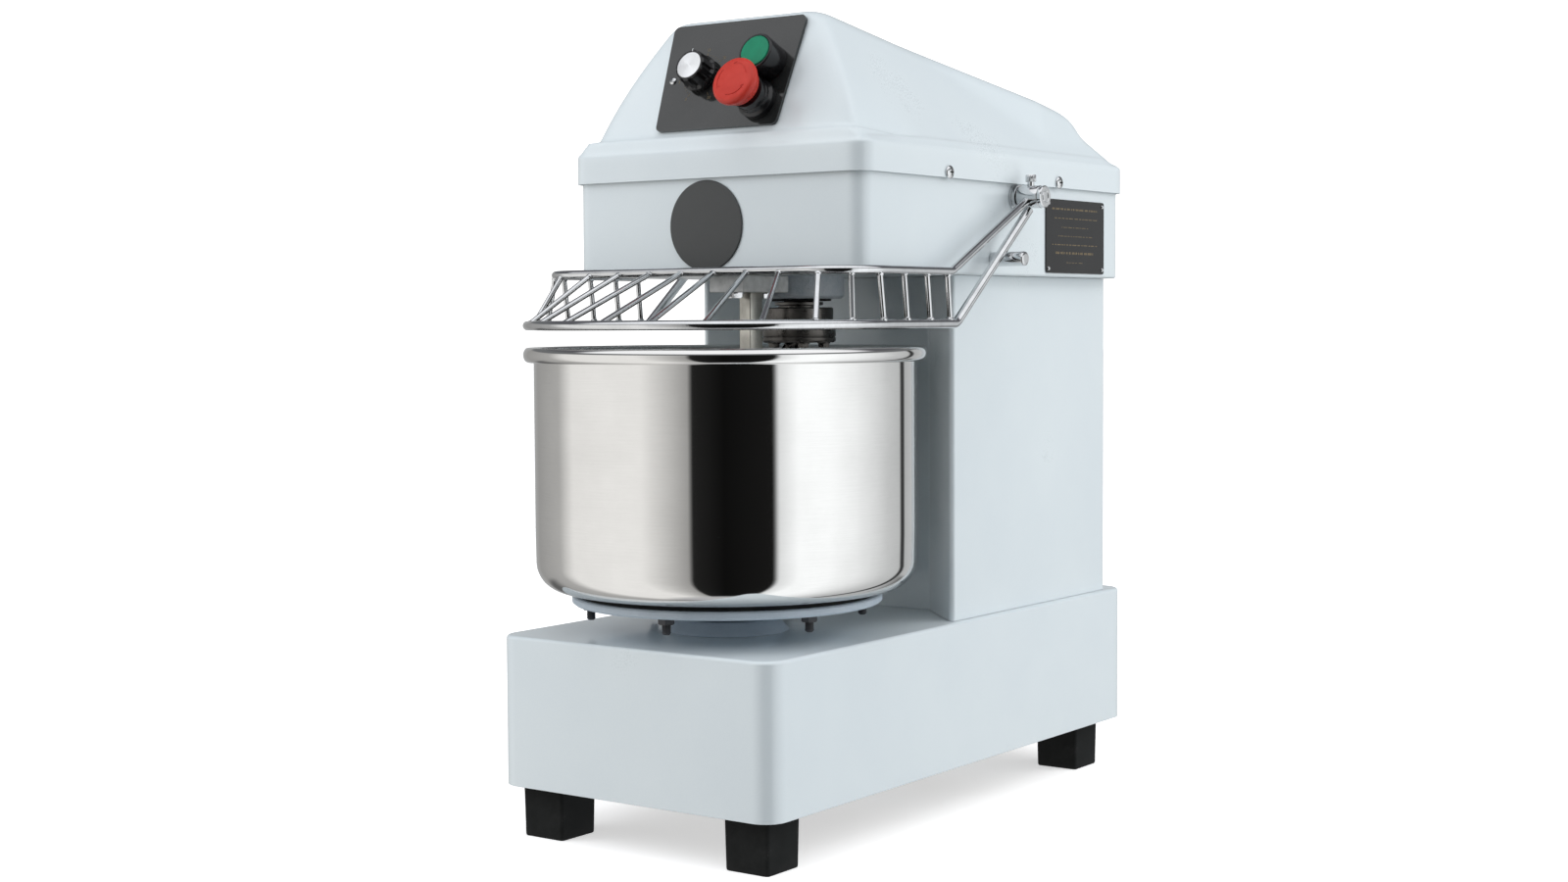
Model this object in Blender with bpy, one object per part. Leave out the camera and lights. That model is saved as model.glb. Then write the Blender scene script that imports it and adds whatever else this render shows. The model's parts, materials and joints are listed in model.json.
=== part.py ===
"""Spiral dough mixer: a tabletop machine with a turning bowl, a spiral hook and a wire bowl guard.

All dimensions below are millimetres. Depths are measured back from the front face of the base,
heights up from the floor, and x is zero on the centre plane. Meshes are scaled to metres as they
are made, with the middle of the machine's footprint at the world origin.
"""
from math import acos, asin, cos, pi, radians, sin, tan

import bmesh
import bpy
from mathutils import Matrix, Vector

MM = 0.001
GAP = 0.3                       # clearance between pieces that touch
SHEET = 2.0                     # thickness of the folded sheet

# Base and feet
BASE_HALF_WIDTH = 160.0
BASE_LENGTH = 662.1
BASE_BOTTOM = 50.1
BASE_TOP = 192.4
BASE_CORNER = 22.0
FOOT_SIDE = 49.3
FOOT_X = 119.4
FOOT_DEPTHS = (40.7, 604.1)
FRAME_BOTTOM = 52.0
FRAME_THICKNESS = 4.0

# Column, head and cover
COLUMN_HALF_WIDTH = 153.3
COLUMN_FRONT = 300.0
COLUMN_REAR = 629.2
RECESS_HALF_WIDTH = 87.1
RECESS_DEPTH = 374.2
HEAD_HALF_WIDTH = 169.0
HEAD_FRONT = 130.1
HEAD_REAR = 633.8
HEAD_BOTTOM = 530.1
HEAD_TOP = 640.0
HEAD_CORNER = 17.0
COVER_HALF_WIDTH = 173.2
COVER_FRONT = 125.9
COVER_REAR = 638.0
COVER_BOTTOM = 621.0
COVER_SHOULDER = 650.5
WAIST = 656.0                   # where the cover's sloping body starts, above its shoulder
ROOF_HEIGHT = 775.0             # height of the roof plane at ROOF_DEPTH
ROOF_DEPTH = 200.0
ROOF_FALL = 0.2                 # fall of the roof per unit of depth

# Turning axes
BOWL_DEPTH = 149.6
HOOK_DEPTH = 270.0
LAYSHAFT_DEPTH = 410.0
MOTOR_DEPTH = 560.0

# Bowl and turntable
BOWL_RADIUS = 181.6
BOWL_RIM = 462.7
BOWL_BOTTOM = 233.5
BOWL_WALL = 1.5
BOWL_CORNER = 27.0
RIM_HALF_WIDTH = 4.9            # the rolled rim is taller than it is wide
RIM_HALF_HEIGHT = 7.0
TURNTABLE_RADIUS = 147.8
TURNTABLE_BOTTOM = 220.0
TURNTABLE_TOP = 228.0
STUD_CIRCLE = 130.0
STUD_COUNT = 6
STUD_RADIUS = 4.2
NUT_RADIUS = 8.0
STUD_BOTTOM = 204.0

# Drive train
CHAIN_PITCH = 15.875
BOWL_TEETH = 51
LAYSHAFT_LOW_TEETH = 8
LAYSHAFT_HIGH_TEETH = 15
HOOK_TEETH = 20
LOW_CHAIN = 92.0                # underside of the lower chain's sprockets
HIGH_CHAIN = 604.0
BIG_PULLEY_RADIUS = 105.0
SMALL_PULLEY_RADIUS = 26.0
PULLEY_BOTTOM = 640.0
PULLEY_TOP = 660.0

# Hook
HOOK_SWEEP = 41.0               # radius of the spiral bar's centre line
HOOK_BAR = 10.5
HOOK_TIP = 253.0

# Wire guard
PIVOT_DEPTH = 404.0
PIVOT_HEIGHT = 607.5
GUARD_HALF_WIDTH = 187.0
LOWER_RING = 483.2
UPPER_RING = 532.0
UPPER_RING_FRONT = 85.0
UPPER_RING_CORNER = 55.0
LOWER_BEND = 262.0
UPPER_BEND = 254.0
LOWER_ROD = 4.5
UPPER_ROD = 4.0
RUNG = 2.6

REST_DEPTH = 360.0              # peg that each arm of the guard rests on
REST_HEIGHT = 545.6

# Control panel, measured up the slope from its lower edge
PANEL_FOOT = (136.3, 666.8)     # depth and height of the lower edge
PANEL_TILT = radians(22.0)
PANEL_LENGTH = 112.0
PANEL_HALF_BOTTOM = 70.8
PANEL_HALF_TOP = 78.4
PANEL_THICKNESS = 2.0
TIMER_AT = (-29.0, 56.0)
START_AT = (49.0, 62.5)
STOP_AT = (46.0, 24.5)

FOOTPRINT_FRONT = BOWL_DEPTH - GUARD_HALF_WIDTH - LOWER_ROD
FOOTPRINT_REAR = BASE_LENGTH + 15.0
MIDDLE = (FOOTPRINT_FRONT + FOOTPRINT_REAR) / 2


def world(x, depth, height):
    """World position in metres of a point given in the machine's own millimetres."""
    return Vector((x, depth - MIDDLE, height)) * MM


# ---------------------------------------------------------------- scene helpers

def clear_scene():
    for item in list(bpy.data.objects):
        bpy.data.objects.remove(item, do_unlink=True)


def material(name, colour, roughness, metallic=0.0):
    made = bpy.data.materials.new(name)
    made.use_nodes = True
    shader = made.node_tree.nodes["Principled BSDF"]
    shader.inputs["Base Color"].default_value = (*colour, 1.0)
    shader.inputs["Roughness"].default_value = roughness
    shader.inputs["Metallic"].default_value = metallic
    made.diffuse_color = (*colour, 1.0)
    return made


def mesh_object(name, bm, origin=(0.0, MIDDLE, 0.0), paint=None, turn=None):
    """Turn a bmesh in machine millimetres into an object whose origin is the given point."""
    bmesh.ops.recalc_face_normals(bm, faces=bm.faces)
    if turn is None:
        bmesh.ops.translate(bm, verts=bm.verts, vec=-Vector(origin))
    bmesh.ops.scale(bm, verts=bm.verts, vec=(MM, MM, MM))
    mesh = bpy.data.meshes.new(name)
    bm.to_mesh(mesh)
    bm.free()
    mesh.shade_smooth()
    mesh.set_sharp_from_angle(angle=radians(32))
    made = bpy.data.objects.new(name, mesh)
    made.location = world(*origin)
    if turn is not None:
        made.rotation_euler = turn
    if paint is not None:
        mesh.materials.append(paint)
    bpy.context.scene.collection.objects.link(made)
    return made


def as_tool(tool):
    """Mark an object as a cutter or joiner that is not a piece of the machine."""
    tool.hide_render = True
    tool.display_type = "WIRE"
    return tool


def boolean(target, operation, tools):
    for tool in tools:
        modifier = target.modifiers.new(operation.lower(), "BOOLEAN")
        modifier.operation = operation
        modifier.solver = "EXACT"
        modifier.object = as_tool(tool)
    return target


def cut(target, *tools):
    return boolean(target, "DIFFERENCE", tools)


def weld(target, *tools):
    return boolean(target, "UNION", tools)


def evaluated(item):
    """The object's mesh after its modifiers, as a bmesh in machine millimetres."""
    bpy.context.view_layer.update()
    depsgraph = bpy.context.evaluated_depsgraph_get()
    bm = bmesh.new()
    bm.from_mesh(item.evaluated_get(depsgraph).to_mesh())
    bmesh.ops.transform(bm, matrix=item.matrix_world, verts=bm.verts)
    bmesh.ops.scale(bm, verts=bm.verts, vec=(1 / MM, 1 / MM, 1 / MM))
    bmesh.ops.translate(bm, verts=bm.verts, vec=(0.0, MIDDLE, 0.0))
    return bm


# ---------------------------------------------------------------- shape helpers

def rounded(corners, radii, steps=4):
    """Closed outline through the corners, each one replaced by an arc of its radius."""
    outline = []
    for index, corner in enumerate(corners):
        here = Vector(corner)
        before = (Vector(corners[index - 1]) - here).normalized()
        after = (Vector(corners[(index + 1) % len(corners)]) - here).normalized()
        outline += corner_arc(here, before, after, radii[index], steps)
    return outline


def corner_arc(here, before, after, radius, steps):
    """Arc tangent to the two unit directions that leave a corner; slerp gives unit vectors."""
    half = before.angle(after) / 2
    centre = here + (before + after).normalized() * radius / sin(half)
    start = here + before * radius / tan(half) - centre
    end = here + after * radius / tan(half) - centre
    return [centre + start.slerp(end, step / steps) * radius for step in range(steps + 1)]


def bent_path(corners, radii, steps=5):
    """Open centre line through the corners, with a bend of its radius at each inner one."""
    path = [Vector(corners[0])]
    for index in range(1, len(corners) - 1):
        here = Vector(corners[index])
        before = (Vector(corners[index - 1]) - here).normalized()
        after = (Vector(corners[index + 1]) - here).normalized()
        path += corner_arc(here, before, after, radii[index - 1], steps)
    path.append(Vector(corners[-1]))
    return path


def rectangle(half_width, front, rear):
    return [(-half_width, front), (half_width, front), (half_width, rear), (-half_width, rear)]


def rounded_rectangle(half_width, front, rear, radius, steps=4):
    return rounded(rectangle(half_width, front, rear), [radius] * 4, steps)


def circle(x, depth, radius, sides=32):
    return [
        (x + radius * cos(2 * pi * side / sides), depth + radius * sin(2 * pi * side / sides))
        for side in range(sides)
    ]


def toothed(depth, teeth):
    """Sprocket outline about the centre plane, from its tooth count and the chain's pitch."""
    pitch_radius = CHAIN_PITCH / 2 / sin(pi / teeth)
    outline = []
    for tooth in range(teeth):
        for share, radius in ((-0.15, -2.6), (0.15, 2.6)):
            angle = 2 * pi * (tooth + share) / teeth
            reach = pitch_radius + radius
            outline.append((reach * sin(angle), depth + reach * cos(angle)))
    return outline


def around_wheels(near_depth, near_radius, far_depth, far_radius, steps=14):
    """Outline of a belt drawn tight round two wheels, its flats just clear of their circles."""
    wrap = acos((near_radius - far_radius) / (far_depth - near_depth))
    outline = []
    for depth, radius, start, turn in ((near_depth, near_radius, wrap, 2 * pi - 2 * wrap),
                                       (far_depth, far_radius, -wrap, 2 * wrap)):
        reach = radius / cos(turn / steps / 2)
        for step in range(steps + 1):
            angle = start + turn * step / steps
            outline.append((reach * sin(angle), depth + reach * cos(angle)))
    return outline


def at_height(outline, height):
    return [(point[0], point[1], height) for point in outline]


def loft(loops, capped=True, ring=False):
    """Skin a chain of loops that have the same number of points."""
    bm = bmesh.new()
    rows = [[bm.verts.new(point) for point in loop] for loop in loops]
    pairs = list(zip(rows, rows[1:]))
    if ring:
        pairs.append((rows[-1], rows[0]))
    for low, high in pairs:
        for index in range(len(low)):
            after = (index + 1) % len(low)
            bm.faces.new((low[index], low[after], high[after], high[index]))
    if capped and not ring:
        bm.faces.new(rows[0])
        bm.faces.new(rows[-1])
    return bm


def prism(outline, bottom, top):
    bm = bmesh.new()
    face = bm.faces.new([bm.verts.new((point[0], point[1], bottom)) for point in outline])
    raised = bmesh.ops.extrude_face_region(bm, geom=[face])
    moved = [item for item in raised["geom"] if isinstance(item, bmesh.types.BMVert)]
    bmesh.ops.translate(bm, verts=moved, vec=(0.0, 0.0, top - bottom))
    return bm


def block(x0, x1, depth0, depth1, bottom, top):
    return prism([(x0, depth0), (x1, depth0), (x1, depth1), (x0, depth1)], bottom, top)


def lathe(profile, centre=(0.0, 0.0), steps=20, closed=False):
    """Spin (radius, height) points about a vertical axis; a closed profile makes a ring."""
    bm = bmesh.new()
    points = [bm.verts.new((radius, 0.0, height)) for radius, height in profile]
    edges = [bm.edges.new(pair) for pair in zip(points, points[1:])]
    if closed:
        edges.append(bm.edges.new((points[-1], points[0])))
    bmesh.ops.spin(bm, geom=points + edges, axis=(0, 0, 1), cent=(0, 0, 0), dvec=(0, 0, 0),
                   angle=2 * pi, steps=steps, use_merge=True)
    bmesh.ops.remove_doubles(bm, verts=bm.verts, dist=0.0005)
    bmesh.ops.translate(bm, verts=bm.verts, vec=(centre[0], centre[1], 0.0))
    return bm


def across(bm, depth, height, outward=1):
    """Lay a lathed shape on its side, so that its axis runs along x at a depth and height."""
    bmesh.ops.rotate(bm, verts=bm.verts, matrix=Matrix.Rotation(outward * pi / 2, 3, "Y"))
    bmesh.ops.translate(bm, verts=bm.verts, vec=(0.0, depth, height))
    return bm


def sweep(path, radius, sides=8, closed=False):
    """Round bar along a centre line; radius may be one number or one for each point."""
    radii = radius if isinstance(radius, list) else [radius] * len(path)
    count = len(path)
    tangents = []
    for index in range(count):
        ahead = path[(index + 1) % count] if closed or index + 1 < count else path[index]
        behind = path[index - 1] if closed or index else path[index]
        tangents.append((ahead - behind).normalized())
    side = tangents[0].orthogonal().normalized()
    loops = []
    for point, tangent, reach in zip(path, tangents, radii):
        side = (side - tangent * side.dot(tangent)).normalized()
        other = tangent.cross(side)
        angles = [2 * pi * step / sides for step in range(sides)]
        loops.append([point + (side * cos(a) + other * sin(a)) * reach for a in angles])
    return loft(loops, ring=closed)


def rod(start, end, radius, sides=8):
    return sweep([Vector(start), Vector(end)], radius, sides)


def cutter(bm):
    return mesh_object("tool", bm)


# ---------------------------------------------------------------- base

def base_housing(paint):
    inside = rounded_rectangle(BASE_HALF_WIDTH - SHEET, SHEET, BASE_LENGTH - SHEET,
                               BASE_CORNER - SHEET)
    outside = rounded_rectangle(BASE_HALF_WIDTH, 0.0, BASE_LENGTH, BASE_CORNER)
    fold = 5.0
    edge = []
    for step in range(1, 4):
        angle = pi / 2 * step / 3
        inset = fold * (1 - cos(angle))
        outline = rounded_rectangle(BASE_HALF_WIDTH - inset, inset, BASE_LENGTH - inset,
                                    BASE_CORNER - inset)
        edge.append(at_height(outline, BASE_TOP - fold + fold * sin(angle)))
    shell = mesh_object("base_housing", loft([
        at_height(inside, BASE_TOP - SHEET),
        at_height(inside, BASE_BOTTOM),
        at_height(outside, BASE_BOTTOM),
        at_height(outside, BASE_TOP - fold),
        *edge,
    ]), paint=paint)
    hub_hole = cutter(prism(circle(0, BOWL_DEPTH, 44.5), 180, 200))
    drive_opening = cutter(block(-75, 75, 385, 600, 180, 200))
    cable_hole = cutter(prism(circle(120, 600, 8, 8), 180, 200))
    gland_hole = cutter(along_depth(lathe([(0, -30), (9.3, -30), (9.3, 30), (0, 30)], steps=20),
                                    120, BASE_LENGTH, 120))
    return cut(shell, hub_hole, drive_opening, cable_hole, gland_hole)


def along_depth(bm, x, depth, height):
    """Lay a lathed shape on its side, so that its top faces the rear."""
    bmesh.ops.rotate(bm, verts=bm.verts, matrix=Matrix.Rotation(-pi / 2, 3, "X"))
    bmesh.ops.translate(bm, verts=bm.verts, vec=(x, depth, height))
    return bm


def base_frame(paint):
    edge = SHEET + GAP
    outline = rounded_rectangle(BASE_HALF_WIDTH - edge, edge, BASE_LENGTH - edge,
                                BASE_CORNER - edge)
    top = FRAME_BOTTOM + FRAME_THICKNESS
    plate = mesh_object("base_frame", prism(outline, FRAME_BOTTOM, top), paint=paint)
    windows = []
    for front, rear in ((70, 270), (300, 390), (470, 590)):
        opening = rounded_rectangle(92, front, rear, 12, 2)
        windows.append(cutter(prism(opening, FRAME_BOTTOM - 5, top + 5)))
    for x in (-FOOT_X, FOOT_X):
        for depth in FOOT_DEPTHS:
            hole = circle(x, depth, 5.6, 8)
            windows.append(cutter(prism(hole, FRAME_BOTTOM - 5, top + 5)))
    return cut(plate, *windows)


def foot(name, x, depth, paint):
    """Square rubber foot with the threaded stud that bolts it to the frame."""
    half = FOOT_SIDE / 2
    top = FRAME_BOTTOM - GAP
    corners = [(x - half, depth - half), (x + half, depth - half),
               (x + half, depth + half), (x - half, depth + half)]
    outer = rounded(corners, [3.5] * 4, 2)
    lower = [(x + (px - x) * 0.96, depth + (py - depth) * 0.96) for px, py in outer]
    body = loft([at_height(lower, 0.0), at_height(outer, 1.6), at_height(outer, top)])
    made = mesh_object(name, body, paint=paint)
    stud = mesh_object(name + "_stud", prism(circle(x, depth, 5.0, 8), top - 6, top + 15))
    return weld(made, stud)


def cord_gland(paint):
    """Strain relief that the supply cord would leave by; the cord itself is not shown."""
    profile = [(5.2, -12.0), (13.0, -12.0), (13.0, -2.0 - GAP), (9.0, -2.0 - GAP),
               (9.0, GAP), (13.5, GAP), (13.5, 6.0), (10.5, 7.0), (10.5, 12.0), (8.5, 15.0),
               (5.2, 15.0)]
    body = lathe(profile, steps=12, closed=True)
    return mesh_object("cord_gland", along_depth(body, 120, BASE_LENGTH, 120), paint=paint)


# ---------------------------------------------------------------- column

def column_housing(paint):
    corners = [
        (-COLUMN_HALF_WIDTH, COLUMN_REAR), (-COLUMN_HALF_WIDTH, COLUMN_FRONT),
        (-RECESS_HALF_WIDTH, RECESS_DEPTH), (RECESS_HALF_WIDTH, RECESS_DEPTH),
        (COLUMN_HALF_WIDTH, COLUMN_FRONT), (COLUMN_HALF_WIDTH, COLUMN_REAR),
    ]
    outline = rounded(corners, [8.0, 4.0, 6.0, 6.0, 4.0, 8.0])
    wall = loft([at_height(outline, BASE_TOP + GAP), at_height(outline, HEAD_BOTTOM - GAP)],
                capped=False)
    made = mesh_object("column_housing", wall, paint=paint)
    shell = made.modifiers.new("sheet", "SOLIDIFY")
    shell.thickness = SHEET * MM
    shell.offset = -1.0
    shell.use_even_offset = True
    window = cutter(block(-100, 100, COLUMN_REAR - 10, COLUMN_REAR + 10, 240, 490))
    return cut(made, window)


def rear_cover(paint):
    """Screwed-on service plate behind the motor, with a bank of cooling slots."""
    front = COLUMN_REAR + GAP
    corners = [(-115, 225), (115, 225), (115, 505), (-115, 505)]
    plate = prism(rounded(corners, [10.0] * 4), -front - 1.5, -front)
    stand_up(plate)
    made = mesh_object("column_rear_cover", plate, paint=paint)
    slots = []
    for row in range(5):
        low = 300 + row * 24
        slot = prism(rounded([(-55, low), (55, low), (55, low + 6), (-55, low + 6)],
                             [2.9] * 4, 2), -front - 6, -front + 6)
        slots.append(cutter(stand_up(slot)))
    return cut(made, *slots)


def stand_up(bm):
    """Turn a flat shape drawn in x and height so that it stands across the machine."""
    bmesh.ops.rotate(bm, verts=bm.verts, matrix=Matrix.Rotation(pi / 2, 3, "X"))
    return bm


# ---------------------------------------------------------------- head

def head_housing(paint):
    inside = rounded_rectangle(HEAD_HALF_WIDTH - SHEET, HEAD_FRONT + SHEET, HEAD_REAR - SHEET,
                               HEAD_CORNER - SHEET, 3)
    outside = rounded_rectangle(HEAD_HALF_WIDTH, HEAD_FRONT, HEAD_REAR, HEAD_CORNER, 3)
    fold = 2.5
    lowest = rounded_rectangle(HEAD_HALF_WIDTH - fold, HEAD_FRONT + fold, HEAD_REAR - fold,
                               HEAD_CORNER - fold, 3)
    shell = mesh_object("head_housing", loft([
        at_height(inside, HEAD_BOTTOM + SHEET),
        at_height(inside, HEAD_TOP),
        at_height(outside, HEAD_TOP),
        at_height(outside, HEAD_BOTTOM + fold),
        at_height(lowest, HEAD_BOTTOM),
    ]), paint=paint)
    low, high = HEAD_BOTTOM - 8, HEAD_BOTTOM + 10
    tools = [
        cutter(prism(circle(0, HOOK_DEPTH, 45.6, 28), low, high)),
        cutter(prism(circle(0, LAYSHAFT_DEPTH, 20, 12), low, high)),
        cutter(block(-62, 62, 480, 620, low, high)),
        cutter(prism(circle(120, 600, 8, 8), low, high)),
        cross_hole(PIVOT_DEPTH, PIVOT_HEIGHT, 6.4),
    ]
    tools += [cross_hole(depth, SCREW_HEIGHT, 3.3) for depth in SCREW_DEPTHS]
    return cut(shell, *tools)


SCREW_DEPTHS = (272.0, 486.0)
SCREW_HEIGHT = 626.0


def cross_hole(depth, height, radius):
    """Cutter that runs right across the machine, through both side walls."""
    reach = COVER_HALF_WIDTH + 20
    profile = [(0, -reach), (radius, -reach), (radius, reach), (0, reach)]
    return cutter(across(lathe(profile, steps=12), depth, height))


def cover_outline(front, crease, corner, side_start, rear, corner_radius, rear_radius):
    """Half of one level of the cover, mirrored; front corner and side start are (x, depth)."""
    front_corner = Vector(corner)
    forward = (Vector((crease, front)) - front_corner).normalized()
    back = (Vector(side_start) - front_corner).normalized()
    start = Vector((crease, front))
    arc = corner_arc(front_corner, forward, back, corner_radius, 3)
    facet = [start.lerp(arc[0], share / 3) for share in range(3)]
    rear_corner = Vector((side_start[0], rear))
    rear_arc = corner_arc(rear_corner, Vector((0.0, -1.0)), Vector((-1.0, 0.0)), rear_radius, 3)
    half = [*facet, *arc, Vector(side_start), *rear_arc]
    return half + [Vector((-point.x, point.y)) for point in reversed(half)]


def sloping_level(up):
    """Outline of the cover's body at a height above its waist: every face leans inward."""
    front = 132.5 + up * tan(PANEL_TILT)
    side = 166.7 - 0.6466 * up
    rear = 617.1 - 1.43 * up
    corner = (153.5 - 0.36 * up - 0.0017 * up * up, 138.7 + 0.285 * up + 0.0008 * up * up)
    crease = min(77.5, corner[0] - 8.0)
    side_start = (side, 230.0 - 0.28 * up)
    return cover_outline(front, crease, corner, side_start, rear, 7.0, 8.0)


def cover_levels():
    """Loops of the cover from its open lower edge, over the shoulder, up past the roof."""
    fold = 3.0
    skirt = cover_outline(COVER_FRONT, 77.5, (COVER_HALF_WIDTH, COVER_FRONT),
                          (COVER_HALF_WIDTH, 230.0), COVER_REAR, 20.0, 20.0)
    turned = cover_outline(COVER_FRONT + fold, 77.5, (COVER_HALF_WIDTH - fold, COVER_FRONT + fold),
                           (COVER_HALF_WIDTH - fold, 230.0), COVER_REAR - fold, 17.0, 17.0)
    waist = [(point.x, point.y, WAIST + 5.0 * front_share(point.y)) for point in sloping_level(2.0)]
    loops = [at_height(skirt, COVER_BOTTOM), at_height(skirt, COVER_SHOULDER - fold),
             at_height(turned, COVER_SHOULDER), waist]
    for up in (50.0, 96.0, 142.0):
        loops.append(at_height(sloping_level(up), WAIST + up))
    return loops


def front_share(depth):
    """One at the front of the cover, zero along its sides."""
    return max(0.0, min(1.0, (200.0 - depth) / 60.0))


def hump_level(height, radii):
    """Outline of the raised rear of the cover: splayed flanks, straight sides, sloping rear."""
    def flank(depth):
        return 366.5 + 0.114 * depth - 0.398 * height

    side = 152.5 - 0.36 * (height - 678.0)
    rear = 575.0 - (height - 690.0) / 1.4
    bend = (side - flank(0.0)) / 0.114
    corners = [(-flank(300.0), 300.0), (flank(300.0), 300.0), (side, bend), (side, rear),
               (-side, rear), (-side, bend)]
    return at_height(rounded(corners, radii, 3), height)


def hump():
    """Raised rear of the cover, over the large belt pulley."""
    low = hump_level(672.0, [1.0, 1.0, 30.0, 22.0, 22.0, 30.0])
    high = hump_level(758.0, [1.0, 1.0, 3.0, 2.0, 2.0, 3.0])
    return loft([low, high])


def top_cover(paint):
    body = mesh_object("cover_body", loft(cover_levels()))
    joined = evaluated(weld(body, mesh_object("cover_hump", hump())))
    fall = Vector((0.0, ROOF_FALL, 1.0)).normalized()
    crown = bmesh.ops.bisect_plane(
        joined, geom=joined.verts[:] + joined.edges[:] + joined.faces[:],
        plane_co=(0.0, ROOF_DEPTH, ROOF_HEIGHT), plane_no=fall, clear_outer=True)
    ridge = [item for item in crown["geom_cut"] if isinstance(item, bmesh.types.BMEdge)]
    bmesh.ops.contextual_create(joined, geom=ridge)
    lowest = [face for face in joined.faces if face.normal.z < -0.99]
    bmesh.ops.delete(joined, geom=lowest, context="FACES")
    ridge = [edge for edge in joined.edges
             if edge.is_manifold and any(f.normal.dot(fall) > 0.9999 for f in edge.link_faces)
             and not all(f.normal.dot(fall) > 0.9999 for f in edge.link_faces)]
    bmesh.ops.bevel(joined, geom=ridge, offset=8.0, segments=2, profile=0.5, affect="EDGES",
                    clamp_overlap=True)
    as_tool(body)
    made = mesh_object("top_cover", joined, paint=paint)
    shell = made.modifiers.new("sheet", "SOLIDIFY")
    shell.thickness = SHEET * MM
    shell.offset = -1.0
    tools = [panel_cutter(place, 11.4) for place in (TIMER_AT, START_AT, STOP_AT)]
    tools += [cross_hole(depth, SCREW_HEIGHT, 3.3) for depth in SCREW_DEPTHS]
    return cut(made, *tools)


# ---------------------------------------------------------------- control panel

def on_panel(place, out=0.0):
    """Machine position of a point on the sloping panel, out along its normal."""
    x, up = place
    depth = PANEL_FOOT[0] + up * sin(PANEL_TILT) - out * cos(PANEL_TILT)
    height = PANEL_FOOT[1] + up * cos(PANEL_TILT) + out * sin(PANEL_TILT)
    return (x, depth, height)


PANEL_TURN = (pi / 2 - PANEL_TILT, 0.0, 0.0)


def panel_piece(name, bm, place, paint=None):
    """Place a shape drawn with its z axis out of the panel and its y axis up the slope."""
    return mesh_object(name, bm, origin=on_panel(place), paint=paint, turn=PANEL_TURN)


def panel_cutter(place, radius):
    return panel_piece("tool", lathe([(0, -20), (radius, -20), (radius, 20), (0, 20)], steps=16),
                       place)


def control_panel(paint):
    corners = [(-PANEL_HALF_BOTTOM, 0.0), (PANEL_HALF_BOTTOM, 0.0),
               (PANEL_HALF_TOP, PANEL_LENGTH), (-PANEL_HALF_TOP, PANEL_LENGTH)]
    plate = prism(rounded(corners, [6.0] * 4), PANEL_REST, PANEL_REST + PANEL_THICKNESS)
    made = panel_piece("control_panel", plate, (0.0, 0.0), paint)
    return cut(made, *[panel_cutter(place, 11.4) for place in (TIMER_AT, START_AT, STOP_AT)])


PANEL_REST = 1.2                # height of the plate's back over the cover's nominal face
FACE = PANEL_REST + PANEL_THICKNESS + GAP


def timer_switch(paint):
    """Clockwork timer behind the panel, with the collar that its knob turns over."""
    profile = [(0, -32), (20, -32), (20, -6), (11.0, -6), (11.0, FACE), (17.5, FACE),
               (17.5, FACE + 2.4), (9.0, FACE + 3.2), (4.0, FACE + 3.2), (4.0, FACE + 14.0),
               (0, FACE + 14.0)]
    return panel_piece("timer_switch", lathe(profile, steps=18), TIMER_AT, paint)


def timer_knob(paint):
    """Fluted knob on the timer's spindle."""
    low, high = FACE + 3.2 + GAP, FACE + 23.0
    flutes = 14
    outer = []
    for step in range(flutes * 2):
        angle = pi * step / flutes
        outer.append((cos(angle), sin(angle), 0.0 if step % 2 else 0.7))
    loops = []
    for reach, height in ((18.4, low), (18.4, low + 3.5), (16.6, low + 5.0), (15.8, high - 0.8),
                          (15.0, high)):
        loops.append([((reach - groove) * c, (reach - groove) * s, height)
                      for c, s, groove in outer])
    made = panel_piece("timer_knob", loft(loops), TIMER_AT, paint)
    bore = panel_piece("tool", lathe([(0, low - 4), (4.0 + GAP, low - 4),
                                      (4.0 + GAP, FACE + 14.5), (0, FACE + 14.5)], steps=20),
                       TIMER_AT)
    return cut(made, bore)


def start_switch(paint):
    """Black bezel and contact block of the start button; a cup that the cap moves in."""
    profile = [(0, -34), (14, -34), (14, -6), (11.0, -6), (11.0, FACE), (18.3, FACE),
               (18.3, FACE + 24.5), (17.3, FACE + 26.0), (15.9, FACE + 26.0),
               (15.9, FACE + 8.0), (0, FACE + 8.0)]
    return panel_piece("start_switch", lathe(profile, steps=18), START_AT, paint)


def start_button(paint):
    profile = [(0, FACE + 14.0), (15.5, FACE + 14.0), (15.5, FACE + 26.2), (14.9, FACE + 26.8),
               (0, FACE + 26.8)]
    return panel_piece("start_button", lathe(profile, steps=18), START_AT, paint)


def stop_switch(paint):
    """Black collar and contact block of the emergency stop."""
    profile = [(0, -34), (14, -34), (14, -6), (11.0, -6), (11.0, FACE), (19.3, FACE),
               (19.3, FACE + 6.0), (16.5, FACE + 8.0), (16.5, FACE + 20.0), (9.5, FACE + 20.0),
               (9.5, FACE + 10.0), (0, FACE + 10.0)]
    return panel_piece("stop_switch", lathe(profile, steps=18), STOP_AT, paint)


def stop_button(paint):
    """Red mushroom head on its stem."""
    top = FACE + 44.5
    profile = [(0, FACE + 16.0), (9.0, FACE + 16.0), (9.0, FACE + 26.5), (18.0, FACE + 27.0),
               (18.9, FACE + 34.0), (22.7, top - 9.5), (24.4, top - 7.0), (24.4, top - 4.0),
               (23.0, top - 1.4), (19.2, top), (0, top + 0.6)]
    return panel_piece("stop_button", lathe(profile, steps=18), STOP_AT, paint)


# ---------------------------------------------------------------- head fittings

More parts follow.
